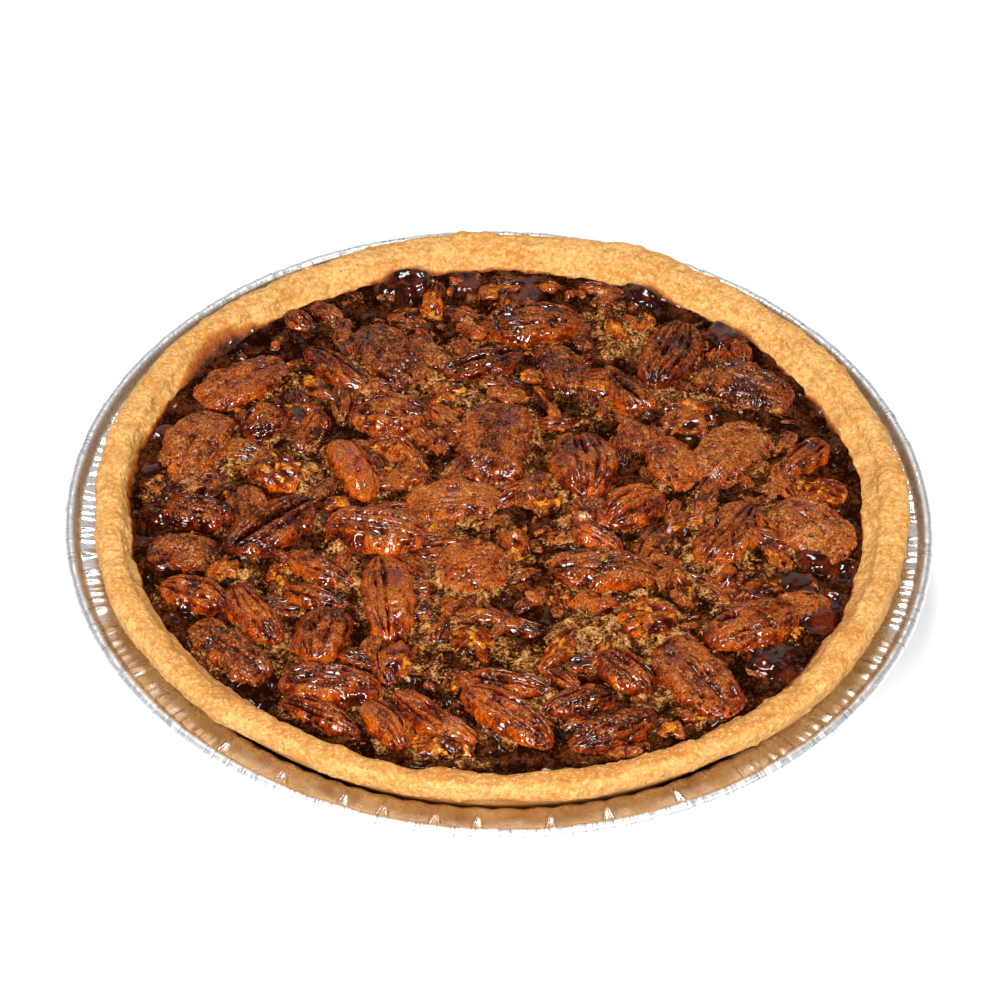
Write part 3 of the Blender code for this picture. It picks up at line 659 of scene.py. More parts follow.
def makeNutMaterial(slotName):
    # a level made of noises and the nut's own tone and dark, less painted shade with pooled glaze in the low
    # spots and a painted contact shadow at the foot, picks the colour, which froth and the painted shade of
    # pores, grooves and holes then cover; the coat lies where nothing dull does
    c = nuts
    material, tree, shader = startMaterial(
        slotName.replace("_", " "), Specular_IOR_Level=0.0, Coat_IOR=1.6,
        Coat_Roughness=c["coatRoughness"][slotName],
    )
    # noise drawn out along each nut
    fibre = tree.nodes.new("ShaderNodeCombineXYZ")
    feed(tree, fibre.inputs["X"], calc(tree, "MULTIPLY", own(tree, "lengthwise"), 0.28 * mm))
    feed(tree, fibre.inputs["Y"], calc(tree, "MULTIPLY", own(tree, "crosswise"), mm))
    streak = spots(tree, 1.1, vector=fibre.outputs[0], detail=2.0, rough=0.6)
    cloud = spots(tree, 3.0, detail=2.0, rough=0.65)
    grain = useGroup(tree, grainGroup, Fine=0.6)
    level = sway(tree, streak, 0.8, sway(tree, grain["Tone"], 0.8, cloud))
    level = calc(tree, "MULTIPLY_ADD", own(tree, "tone"), 0.7, level)
    level = calc(tree, "SUBTRACT", level, own(tree, "dark"))
    # painted shade with pooled glaze: the low spots are darkened
    level = calc(tree, "MULTIPLY_ADD", own(tree, "cavity"), -0.55, calc(tree, "ADD", level, 0.12))
    # painted contact shadow at the nut's foot
    level = calc(tree, "MULTIPLY_ADD", own(tree, "foot"), -0.45, level)
    colour = blend(tree, span(tree, level, 0.05, 0.45), c["deep"], c["red"])
    colour = blend(tree, span(tree, level, 0.40, 0.85), colour, c["orange"])
    # what faces up is dull brown, the sides keep the syrup's colour
    above = blend(tree, span(tree, level, 0.12, 0.68), c["topDark"], c["top"])
    speckle = spots(tree, 0.9, detail=2.0, rough=0.7)
    crest = calc(tree, "MULTIPLY", own(tree, "crest"), span(tree, speckle, 0.34, 0.56, 0.35, 0.95))
    colour = blend(tree, crest, colour, above)
    fleck = calc(tree, "MULTIPLY", own(tree, "crest"), span(tree, speckle, 0.54, 0.66, 0.0, 0.55))
    colour = blend(tree, fleck, colour, c["tan"])
    meat = calc(tree, "MULTIPLY", own(tree, "meat"), span(tree, spots(tree, 2.6), 0.52, 0.66, 0.0, 0.8))
    colour = blend(tree, meat, colour, c["meat"])
    cover = calc(tree, "MULTIPLY", own(tree, "froth"), 0.85)
    cover = calc(tree, "MULTIPLY_ADD", own(tree, "hem"), 0.20, cover)
    cover = sway(tree, spots(tree, 6.0, detail=1.0), 1.1, cover)
    froth = useGroup(tree, frothGroup, Cover=cover)
    frothMask = calc(tree, "MULTIPLY", froth["Mask"], 0.82)
    colour = blend(tree, frothMask, colour, blend(tree, froth["Tone"], c["top"], c["tan"]))
    # painted shade: pores, deep grooves and holes turned near-black, and the coat taken off there
    pore = span(tree, cellField(tree, 1.15), 0.28, 0.14)
    pore = calc(tree, "MULTIPLY", pore, span(tree, cloud, 0.42, 0.52))
    hollow = calc(tree, "MAXIMUM", pore, own(tree, "groove"))
    colour = blend(tree, calc(tree, "MULTIPLY", hollow, 0.94), colour, c["pit"])
    fine = spots(tree, 0.50, detail=2.0, rough=0.7)
    colour = blend(tree, 1.0, colour, span(tree, fine, 0.32, 0.68, 0.50, 1.45), "MULTIPLY")
    feed(tree, shader.inputs["Base Color"], colour)
    feed(tree, shader.inputs["Roughness"], calc(tree, "MULTIPLY_ADD", froth["Mask"], 0.2, 0.55))
    dull = calc(tree, "MAXIMUM", froth["Mask"], calc(tree, "MULTIPLY", own(tree, "crest"), 0.75))
    dull = calc(tree, "MULTIPLY_ADD", own(tree, "meat"), 0.4, dull)
    dull = calc(tree, "SUBTRACT", dull, own(tree, "shine"))
    shine = span(tree, spots(tree, 2.8, detail=3.0), 0.36, 0.54, 0.25, 1.0)
    coat = calc(tree, "MULTIPLY_ADD", span(tree, dull, 0.0, 1.0), -0.97, 1.0)
    coat = calc(tree, "MULTIPLY", calc(tree, "MULTIPLY", coat, shine), calc(tree, "SUBTRACT", 1.0, hollow))
    feed(tree, shader.inputs["Coat Weight"], coat)
    first = bump(tree, calc(tree, "ADD", speckle, streak), 0.6, 0.30)
    second = bump(tree, calc(tree, "SUBTRACT", froth["Height"], pore), 0.6, 0.35, first)
    feed(tree, shader.inputs["Normal"], bump(tree, grain["Height"], 0.5, 0.25, second))
    broad = spots(tree, 1.9, vector=fibre.outputs[0], detail=1.0)
    feed(tree, shader.inputs["Coat Normal"], bump(tree, broad, 0.5, 0.30))
    return material


nutMaterials = {slotName: makeNutMaterial(slotName) for slotName in nuts["coatRoughness"]}
for nut in nutList:
    slotName = nuts["forms"][nut["kind"]]["slot"]
    pieceName = nut["name"].replace("pecan", "nut")
    piece = putMesh(pieceName, *nutBody(nut), nutMaterials[slotName], slotName)
    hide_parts(nut["name"])
print("pecans made")


# Broken bits and crumbs, one joined piece

bits = dict(
    # the larger ones stand where the solid has them: x, y, turn, length, width
    layout=(
        (-54, 43, 139, 18, 4), (-59, 33, 97, 17, 5), (-30, 76, 12, 10, 7), (-2, 88, 25, 12, 7),
        (3, 43, 160, 12, 7), (13, 38, 116, 15, 4), (30, 45, 136, 11, 5), (54, 38, 179, 13, 5),
        (53, 30, 17, 16, 4), (48, -12, 61, 13, 4), (77, -22, 139, 9, 5), (63, -32, 54, 10, 5),
        (-29, 15, 144, 13, 6), (-31, 6, 136, 12, 5), (-16, 23, 59, 14, 5), (11, -3, 157, 13, 7),
        (5, -22, 111, 12, 5), (23, -8, 177, 8, 4), (-76, -33, 13, 8, 7), (9, -38, 111, 9, 6),
        (24, -42, 177, 18, 6), (-5, -47, 165, 26, 5), (-25, -65, 14, 13, 9), (51, -35, 105, 17, 5),
        (34, -94, 15, 13, 4), (46, -87, 24, 6, 4),
    ),
    rise=2.6, crumbs=150, crumbLength=(2.0, 6.0), crumbRise=(0.6, 1.4), clearance=0.4,
    # low parts of nuts that the filling nearly covers
    sunken=115, sunkenLength=(8.0, 19.0), sunkenRise=(1.8, 3.2), sunkenGap=5.4,
)


def bitBody(x, y, turn, length, width, rise, seed, rows, columns):
    # an ellipsoid roughened by noise, half sunk in the filling, with one broken face
    draw = random.Random(seed)
    latitude = np.linspace(-1.0, 1.0, rows + 2)[1:-1][:, None]
    share = np.sin(0.5 * math.pi * latitude)
    angle = np.linspace(0.0, tau, columns, endpoint=False)[None, ::-1]
    band = (1.0 - np.abs(share) ** 2.4) ** 0.45
    along = 0.5 * length * share + 0.0 * angle
    side = 0.5 * width * band * np.cos(angle)
    up = band * np.where(np.sin(angle) > 0.0, rise, 1.2) * np.sin(angle)
    local = np.stack([along, side, up], axis=-1) + seed * 5.3
    rough = lumps(local, 2.6, seed) + 0.5 * lumps(local, 1.1, seed + 1)
    along = along + 0.12 * length * rough
    side = side + 0.34 * width * rough * np.cos(angle)
    up = up + 0.45 * rise * rough * np.sin(angle)
    heading, slant = draw.uniform(0.0, tau), draw.uniform(0.2, 0.6)
    plane = 0.75 * rise - slant * (along * math.cos(heading) + side * math.sin(heading))
    over = up - plane
    meat = ease(over, 0.0, 0.4)
    up = np.where(over > 0.0, plane + 0.1 * over, up)
    lift = 0.5                                   # its middle stands this far over the filling's smooth top
    tips = [onFilling(x, y, turn, np.array(end * 0.5 * length), 0.0, lift) for end in (-1.0, 1.0)]
    points, faces = turnedBody(onFilling(x, y, turn, along, side, up + lift), *tips)
    whole = np.full(len(points), 1.0)
    values = dict(
        hem=withPoles(ease(up, 1.6, 0.3), 1.0, 1.0), meat=withPoles(meat, 0.0, 0.0),
        # low spots get pooled glaze with painted shade, and the foot a painted contact shadow
        crest=withPoles(ease(rough, -0.6, 0.7), 0.5, 0.5), cavity=withPoles(ease(rough, 0.3, -0.7), 0.5, 0.5),
        foot=withPoles(ease(up, 0.9, 0.1), 1.0, 1.0),
        lengthwise=withPoles(along + seed, seed - 0.5 * length, seed + 0.5 * length),
        crosswise=withPoles(side + 0.8 * up, 0.0, 0.0),
        groove=whole * 0.0, shine=whole * 0.0,
        tone=whole * draw.uniform(-0.1, 0.35), froth=whole * draw.uniform(0.0, 0.3),
        dark=whole * draw.uniform(0.0, 0.3),
    )
    return points, faces, values


def joinParts(name, parts):
    # one piece of many closed bodies: each body's faces count on from the points before it
    start = 0
    allPoints, allFaces, allValues = [], [], {}
    for points, faces, values in parts:
        allPoints.append(points)
        allFaces.extend(block + start for block in faces)
        for label, given in values.items():
            allValues.setdefault(label, []).append(given)
        start += len(points)
    joined = {label: np.concatenate(given) for label, given in allValues.items()}
    material = nutMaterials["glazed_pecan"]
    return putMesh(name, np.concatenate(allPoints), allFaces, joined, material, "glazed_pecan")


def placeSunken():
    # seeded draws, even over the disc by radius = R sqrt(u), kept where no nut and no other one stands
    draw = random.Random(73)
    placed = []
    tries = 0
    while len(placed) < bits["sunken"] and tries < 9000:
        tries += 1
        radius, angle = 96.0 * math.sqrt(draw.random()), draw.uniform(0.0, tau)
        x, y = radius * math.cos(angle), radius * math.sin(angle)
        if min(float(nutReach(nut, x, y)) for nut in nutList) < 0.6:
            continue
        if any(math.hypot(x - other["x"], y - other["y"]) < bits["sunkenGap"] for other in placed):
            continue
        length = draw.uniform(*bits["sunkenLength"])
        placed.append(dict(
            name=f"sunken_{len(placed)}", kind=draw.choice(("half", "half", "piece", "flat")),
            x=x, y=y, turn=draw.uniform(0.0, math.pi), length=min(length, 2.0 * (101.0 - radius)),
            width=length * draw.uniform(0.4, 0.62), rise=draw.uniform(*bits["sunkenRise"]),
        ))
    return placed


def makeBits():
    # the larger bits where the solid has them, then crumbs scattered as the sunken nuts are
    parts = []
    for index, (x, y, turn, length, width) in enumerate(bits["layout"]):
        size = length + 1.2, width + 1.2, bits["rise"]
        parts.append(bitBody(x, y, math.radians(turn), *size, index + 1, 40, 28))
    draw = random.Random(41)
    placed = 0
    while placed < bits["crumbs"]:
        radius, angle = 97.0 * math.sqrt(draw.random()), draw.uniform(0.0, tau)
        x, y = radius * math.cos(angle), radius * math.sin(angle)
        free = min(float(nutReach(nut, x, y)) for nut in nutList)
        if free < bits["clearance"]:
            continue
        length = draw.uniform(*bits["crumbLength"])
        width = length * draw.uniform(0.4, 0.8)
        rise = draw.uniform(*bits["crumbRise"])
        parts.append(bitBody(x, y, draw.uniform(0.0, tau), length, width, rise, 100 + placed, 12, 12))
        placed += 1
    return joinParts("nut_bits", parts)


sunkenList = placeSunken()
makeBits()
joinParts("nut_sunken", [nutBody(nut, coarse=2.0) for nut in sunkenList])
print("bits and crumbs made")


def makeFillingMaterial():
    # dark to brown by noise, froth over it, red and glossy where it is wet
    c = filling
    material, tree, shader = startMaterial(
        "dark syrup", Specular_IOR_Level=0.0, Coat_Roughness=0.10, Coat_IOR=1.5,
    )
    froth = useGroup(tree, frothGroup, Cover=own(tree, "froth"))
    grain = useGroup(tree, grainGroup, Fine=0.8)
    cloud = spots(tree, 5.0, detail=3.0)
    shade = sway(tree, cloud, 1.0, grain["Tone"])
    colour = blend(tree, span(tree, shade, 0.40, 0.74), c["dark"], c["brown"])
    frothMask = calc(tree, "MULTIPLY", froth["Mask"], 0.9)
    colour = blend(tree, frothMask, colour, blend(tree, froth["Tone"], c["tan"], c["pale"]))
    colour = blend(tree, calc(tree, "MULTIPLY", froth["Pore"], 0.85), colour, c["dark"])
    wet = own(tree, "wet")
    redShare = span(tree, spots(tree, 4.5), 0.46, 0.60, 0.12, 1.0)
    colour = blend(tree, wet, colour, blend(tree, redShare, c["dark"], c["red"]))
    fine = spots(tree, 0.55, detail=2.0, rough=0.7)
    colour = blend(tree, 1.0, colour, span(tree, fine, 0.32, 0.68, 0.55, 1.45), "MULTIPLY")
    feed(tree, shader.inputs["Base Color"], colour)
    feed(tree, shader.inputs["Roughness"], calc(tree, "MULTIPLY_ADD", wet, -0.30, 0.6))
    film = calc(tree, "MULTIPLY", span(tree, spots(tree, 3.6, detail=3.0), 0.56, 0.66), 0.6)
    film = calc(tree, "MULTIPLY", film, calc(tree, "SUBTRACT", 1.0, froth["Mask"]))
    feed(tree, shader.inputs["Coat Weight"], calc(tree, "MAXIMUM", wet, film))
    first = bump(tree, grain["Height"], 0.6, 0.35)
    second = bump(tree, froth["Height"], 0.6, 0.26, first)
    feed(tree, shader.inputs["Normal"], second)
    feed(tree, shader.inputs["Coat Normal"], bump(tree, spots(tree, 2.2, detail=1.0), 0.5, 0.4))
    return material


def makeFilling():
    # top: the solid's smooth top + noise + syrup climbing each nut by exp(-distance) + domes - hollows,
    # on a square grid pressed to a disc, where the larger of |a| and |b| is the radius, their ratio the angle
    count = filling["cells"]
    line = np.linspace(-1.0, 1.0, count + 1)
    a, b = np.meshgrid(line, line, indexing="ij")
    flat = np.abs(a) > np.abs(b)
    radius = np.where(flat, a, b)
    safe = np.where(np.abs(radius) < 1e-9, 1.0, radius)
    angle = np.where(flat, 0.25 * math.pi * b / safe, 0.5 * math.pi - 0.25 * math.pi * a / safe)
    x, y = radius * np.cos(angle), radius * np.sin(angle)
    edge = roundThePie("inner", np.arctan2(y, x))
    reach = edge + filling["overlap"]
    past = np.hypot(x, y) * reach - edge                     # millimetres past the pastry's edge
    x, y = x * reach, y * reach
    spot = np.stack([x, y, 0.0 * x], axis=-1)

    base = fillingTop(x, y)
    rough = 0.65 * lumps(spot, 7.0, 5) + 0.50 * lumps(spot, 3.1, 6) + 0.28 * lumps(spot, 1.5, 7)
    near = np.full(x.shape, 99.0)
    for nut in nutList:
        near = np.minimum(near, nutReach(nut, x, y))
    for nut in sunkenList:
        near = np.minimum(near, nutReach(nut, x, y) + 0.8)
    climb = filling["climb"] * np.exp(-np.maximum(near, 0.0) / filling["climbWidth"])
    climb = climb * (0.75 + 0.45 * lumps(spot, 4.0, 8))
    wet = np.zeros_like(x)
    dome = np.zeros_like(x)
    for cx, cy, size, rise in filling["domes"]:
        away = np.hypot(x - cx, y - cy) / size
        away = away * (1.0 + 0.30 * lumps(spot, 4.0, 9) + 0.12 * lumps(spot, 1.8, 11))
        dome = np.maximum(dome, rise * np.sqrt(np.clip(1.0 - away ** 2, 0.0, 1.0)))
        wet = np.maximum(wet, ease(away, 1.15, 0.8))
    pool = np.zeros_like(x)
    for cx, cy, size, depth in filling["pools"]:
        away = np.hypot(x - cx, y - cy) / size * (1.0 + 0.2 * lumps(spot, 3.0, 10))
        pool = np.maximum(pool, depth * ease(away, 1.2, 0.4))
        wet = np.maximum(wet, ease(away, 1.25, 0.9))
    away, value = pits(spot, 2.6, 12)
    pore = ease(away, 0.30, 0.10) * (value > -0.1) * (1.0 - wet)
    edgeRise = 1.1 * np.exp(-((past + 0.5) / 1.6) ** 2) * (0.6 + 0.7 * lumps(spot, 3.3, 13))
    z = base + rough * (1.0 - 0.7 * wet) + climb + dome - pool - 0.9 * pore + edgeRise
    z = z - 0.25 * np.maximum(past, 0.0)

    patches = 0.6 * lumps(spot, 11.0, 21) + 0.4 * lumps(spot, 5.0, 22)
    froth = -0.06 + 0.70 * patches + 0.60 * np.exp(-np.maximum(near, 0.0) / 2.0)
    froth = np.minimum(froth - 0.30 * ease(np.hypot(x, y), 70.0, 98.0), filling["frothMost"]) - wet

    top = np.stack([x, y, z], axis=-1).reshape(-1, 3)
    index = np.arange(len(top)).reshape(count + 1, count + 1)
    quads = np.stack([index[:-1, :-1], index[1:, :-1], index[1:, 1:], index[:-1, 1:]], axis=-1)
    border = np.concatenate([index[:-1, 0], index[-1, :-1], index[:0:-1, -1], index[0, :0:-1]])
    angle = np.arctan2(top[border, 1], top[border, 0])
    after = np.roll(np.arange(len(border)), -1)
    points, faces, previous, start = [top], [quads.reshape(-1, 4)], border, len(top)
    # rings of points lead from the border down the side to one point in the middle of the underside
    for out, level in filling["under"]:
        points.append(roundRow(roundThePie("inner", angle) + out, level, angle))
        ring = start + np.arange(len(border))
        faces.append(np.stack([previous, ring, ring[after], previous[after]], axis=-1))
        previous = ring
        start += len(border)
    points.append(np.array([[0.0, 0.0, level]]))
    faces.append(fan(start, previous, flip=True))
    points = np.concatenate(points)

    hidden = np.zeros(len(points) - len(top))
    attributes = dict(
        froth=np.concatenate([froth.ravel(), hidden]), wet=np.concatenate([wet.ravel(), hidden]),
    )
    piece = putMesh("syrup_filling", points, faces, attributes, makeFillingMaterial(), "filling")
    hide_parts("pecan_filling")


makeFilling()
print("filling made")


# Pastry case

crust = dict(
    columns=1100,
    underRadius=(60.0, 88.0, 89.8), underHeight=0.95,
    wallFoot=(91.0, 2.0), wallTop=(109.2, 27.3), # radius and height of the outer wall's ends
    rimTall=3.5, square=0.72,                    # power below 1 makes the rim's section squarer
    # inner wall, under the filling: height, distance in from the inner edge
    innerWall=((30.5, 0.5), (26.0, 2.6), (19.0, 5.8), (12.0, 9.6), (7.8, 12.8), (6.1, 16.5)),
    lumps=0.50, grain=0.22, blisters=0.45, dents=0.55, cracks=0.35,
    gold=(0.585, 0.242, 0.044), pale=(0.755, 0.430, 0.140), flour=(0.86, 0.57, 0.25),
    toast=(0.46, 0.140, 0.017), brown=(0.27, 0.065, 0.008),
    caramel=(0.25, 0.050, 0.006), stain=(0.045, 0.010, 0.003),
    # caramel stains at the inner edge: angle, reach over the pastry, half width in degrees
    stains=(
        (145.0, 3.6, 7.5), (108.0, 2.2, 5.0), (64.0, 2.6, 4.0), (46.0, 1.6, 4.5), (20.0, 0.8, 9.0),
        (178.0, 0.9, 12.0), (320.0, 0.7, 14.0), (92.0, 0.8, 8.0),
    ),
    # raised spots: angle, radius, size, rise
    knobs=((229.5, 111.5, 2.6, 0.9), (72.0, 112.5, 4.2, 0.9)),
)


def crustGrid():
    # a closed section for each angle: underside, outer wall, rim, slope to the inner edge, inner wall
    angle = np.arange(crust["columns"]) / crust["columns"] * tau
    outer, middle = roundThePie("outer", angle), roundThePie("middle", angle)
    topHeight, inner = roundThePie("top", angle), roundThePie("inner", angle)
    wide = outer - middle
    centre = topHeight - crust["rimTall"]
    rows = []

    def addRow(radius, height):
        rows.append(roundRow(radius, height, angle))

    for radius in crust["underRadius"]:
        addRow(radius, crust["underHeight"])
    (footRadius, footHeight), (wallRadius, wallHeight) = crust["wallFoot"], crust["wallTop"]
    for share in np.linspace(0.0, 1.0, 9):
        addRow(footRadius + (wallRadius - footRadius) * share, footHeight + (wallHeight - footHeight) * share)
    for turn in np.radians(np.linspace(-62.0, 158.0, 56)):
        # squared ellipse: |cos|^k and |sin|^k with their signs
        sides = math.cos(turn), math.sin(turn)
        out, rise = (math.copysign(abs(side) ** crust["square"], side) for side in sides)
        lastRadius, lastHeight = middle + wide * out, centre + crust["rimTall"] * rise
        addRow(lastRadius, lastHeight)
    for share in np.linspace(0.0, 1.0, 16)[1:]:
        drop = (filling["edgeHeight"] - lastHeight) * share ** 0.85
        addRow(lastRadius + (inner - lastRadius) * share, lastHeight + drop)
    for height, inset in crust["innerWall"]:
        addRow(inner - inset, height)
    return np.stack(rows), angle


def makeCrustMaterial():
    # gold and pale patches, toasted by the bake value, specked, floured, then stained from the inner edge
    c = crust
    material, tree, shader = startMaterial("golden pastry", Specular_IOR_Level=0.2)
    grain = useGroup(tree, grainGroup, Fine=0.8)
    cloud = spots(tree, 8.0, detail=3.0, rough=0.65)
    fine = spots(tree, 1.7, detail=3.0, rough=0.7)
    mottle = calc(tree, "MULTIPLY_ADD", fine, 0.6, calc(tree, "MULTIPLY", cloud, 0.4))
    colour = blend(tree, span(tree, mottle, 0.38, 0.62), c["gold"], c["pale"])
    bake = sway(tree, fine, 2.2, own(tree, "bake"))
    colour = blend(tree, span(tree, bake, 0.25, 1.05, 0.0, 0.85), colour, c["toast"])
    speck = span(tree, cellField(tree, 2.2), 0.22, 0.06)
    speck = calc(tree, "MULTIPLY", speck, span(tree, cloud, 0.46, 0.58, 0.0, 0.7))
    colour = blend(tree, speck, colour, c["brown"])
    crumb = span(tree, grain["Tone"], 0.48, 0.36, 0.0, 0.42)
    colour = blend(tree, crumb, colour, c["toast"])
    flour = span(tree, grain["Tone"], 0.52, 0.62, 0.0, 0.55)
    colour = blend(tree, flour, colour, c["flour"])
    # caramel soaked in from the filling: an orange halo, then brown, then nearly black
    edge = sway(tree, fine, 0.7, own(tree, "stain"))
    colour = blend(tree, span(tree, edge, 0.12, 0.42, 0.0, 0.9), colour, c["toast"])
    colour = blend(tree, span(tree, edge, 0.35, 0.68, 0.0, 0.95), colour, c["caramel"])
    colour = blend(tree, span(tree, edge, 0.66, 1.0), colour, c["stain"])
    feed(tree, shader.inputs["Base Color"], colour)
    feed(tree, shader.inputs["Roughness"], span(tree, edge, 0.5, 0.9, 0.62, 0.25))
    feed(tree, shader.inputs["Coat Weight"], span(tree, edge, 0.6, 0.95, 0.0, 0.7))
    first = bump(tree, grain["Height"], 0.9, 0.24)
    second = bump(tree, spots(tree, 2.6, detail=2.0, rough=0.6), 0.6, 0.5, first)
    feed(tree, shader.inputs["Normal"], second)
    return material


def makeCrust():
    # each point of the section moves along its normal by noise, crumbs, blisters, dents and cracks
    grid, angle = crustGrid()
    radius = np.hypot(grid[..., 0], grid[..., 1])
    past = radius - roundThePie("inner", angle)              # millimetres out from the inner edge
    off = radius - roundThePie("middle", angle)              # and from the rim's highest line
    shown = ease(grid[..., 2], 29.5, 31.5) * ease(radius, 88.0, 93.0)
    noise = lumps(grid, 11.0, 51) + 0.55 * lumps(grid, 4.5, 52) + 0.25 * lumps(grid, 2.0, 53)
    # crumbs: rounded grains about the cells' own points
    away = pits(grid, 1.7, 54)[0]
    fine = 1.3 * (0.5 - away) + 0.5 * lumps(grid, 1.1, 60)
    away, value = pits(grid, 3.6, 55)
    blister = ease(away, 0.60, 0.1) * (value > 0.25)
    relief = crust["lumps"] * noise + crust["grain"] * fine + crust["blisters"] * blister
    # the inner edge bulges over the filling here and there
    bulge = (0.75 + 0.35 * np.sin(angle)) * lumps(grid, 9.0, 64)
    relief = relief + bulge * np.exp(-((past - 0.5) / 3.0) ** 2)
    # upright dents where the pastry was pressed to the tin, and fine cracks
    arc = np.stack([np.cos(angle) * 105.0, np.sin(angle) * 105.0, 0.0 * angle], axis=-1)
    dent = lumps(arc, 6.5, 56) + 0.6 * lumps(arc, 2.8, 57)
    relief = relief + crust["dents"] * dent * ease(off, 0.5, -2.5)
    split = np.abs(lumps(grid * np.array([1.0, 1.0, 0.6]), 5.2, 58))
    split = np.exp(-(split / 0.08) ** 2) * ease(lumps(grid, 9.0, 59), 0.3, 0.6)
    relief = relief - crust["cracks"] * split
    for knobAngle, knobRadius, size, rise in crust["knobs"]:
        turn = math.radians(knobAngle)
        gap = np.hypot(grid[..., 0] - knobRadius * math.cos(turn), grid[..., 1] - knobRadius * math.sin(turn))
        relief = relief + rise * np.exp(-(gap / size) ** 2)
    grid = grid + gridNormals(grid) * (relief * shown)[..., None]

    ragged = 1.2 * lumps(grid, 4.0, 61) + 0.7 * lumps(grid, 1.8, 62)
    reachOut = 0.55 + 0.0 * angle
    for stainAngle, reach, spread in crust["stains"]:
        away = np.abs((np.degrees(angle) - stainAngle + 180.0) % 360.0 - 180.0) / spread
        reachOut = reachOut + reach * np.exp(-away ** 2)
    stain = np.clip(1.15 - (past + 0.45 * ragged) / (1.5 * reachOut), 0.0, 1.0)
    stain = stain * (grid[..., 2] > 30.0)
    front = 0.5 - 0.5 * np.sin(angle)
    innerTop = ease(off + 0.4 * ragged, 2.7, 1.2)
    # a shallow baked line runs along the front rim
    seam = np.exp(-((off - 1.9 + 0.30 * ragged) / 0.40) ** 2)
    seam = seam * ease(lumps(grid, 4.0, 65), -0.3, 0.3) * front
    outerTop = np.exp(-((off - 2.6) / 1.6) ** 2) * (1.0 - front)
    bake = 0.05 + 0.62 * front ** 2 * innerTop + 0.45 * seam + 0.16 * outerTop + 0.22 * lumps(grid, 9.0, 63)
    lowPole = np.array([0.0, 0.0, crust["underHeight"]])
    highPole = np.array([0.0, 0.0, crust["innerWall"][-1][0]])
    points, faces = turnedBody(grid, lowPole, highPole)
    attributes = dict(stain=withPoles(stain, 0.0, 0.0), bake=withPoles(bake, 0.0, 0.0))
    piece = putMesh("pastry_case", points, faces, attributes, makeCrustMaterial(), "pastry")
    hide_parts("pastry_crust")


makeCrust()
print("pastry made")


# Foil tin

tin = dict(
    columns=1660,
    baseRadius=90.6, corner=1.8, wallTop=110.6, flangeHeight=27.0, flangeRadius=118.5,
    foil=0.28, beadRadius=1.6, outer=122.0, beadHeight=28.4,
    # the hollows of the flutes get painted shade, darkening the foil there
    flutes=92, fluteDepth=0.50, fluteShade=0.50, # pressed folds of the wall, darker in their hollows
    flangeSlope=1.3,                             # the flange falls this far towards the pastry
    creaseRise=0.85,
    # wrinkles round most of the flange, and the pleats that stand alone at the front between two angles:
    # gap to the next, width, rise
    wrinkle=dict(gap=(1.5, 3.6), width=(0.5, 1.1), rise=(0.5, 1.3), sides=(1.0, 1.0, -0.8)),
    pleat=dict(gap=(9.0, 20.0), width=(1.0, 1.6), rise=(1.5, 2.3)), pleats=(232.0, 300.0),
    dull=(0.84, 0.84, 0.85), bright=(0.97, 0.97, 0.98),
)


def rimNoise(angle, size, seed):
    # noise read on a circle of 40 mm radius: at the tin's rim its features are three times this size
    spot = np.stack([np.cos(angle) * 40.0, np.sin(angle) * 40.0, 0.0 * angle], axis=-1)
    return lumps(spot, size, seed)


def fluteWave(angle):
    # |sin| of half the flutes times the angle, drawn to and fro by a slow noise
    return np.abs(np.sin(0.5 * (angle * tin["flutes"] + 1.5 * rimNoise(angle, 6.0, 73))))


def flangeDrop(angle):
    # the flange slopes least at the front
    return tin["flangeSlope"] * (0.55 + 0.45 * np.sin(angle))


def creaseSeats():
    # seeded wrinkles and pleats round the flange, one after another: angle, rise, how far the outer end
    # leans, width, and whether it is a pleat
    draw = random.Random(17)
    seats, heights, leans, widths, alone = [], [], [], [], []
    seat = 0.0
    while seat < tau - 0.012:
        alone.append(tin["pleats"][0] < math.degrees(seat) < tin["pleats"][1])
        kind = tin["pleat"] if alone[-1] else tin["wrinkle"]
        seats.append(seat)
        heights.append(draw.uniform(*kind["rise"]) * (draw.choice(kind["sides"]) if "sides" in kind else 1.0))
        leans.append(draw.uniform(-0.015, 0.015))
        widths.append(draw.uniform(*kind["width"]))
        seat += draw.uniform(*kind["gap"]) / 115.0
    return (np.array(values)[None, :] for values in (seats, heights, leans, widths, alone))


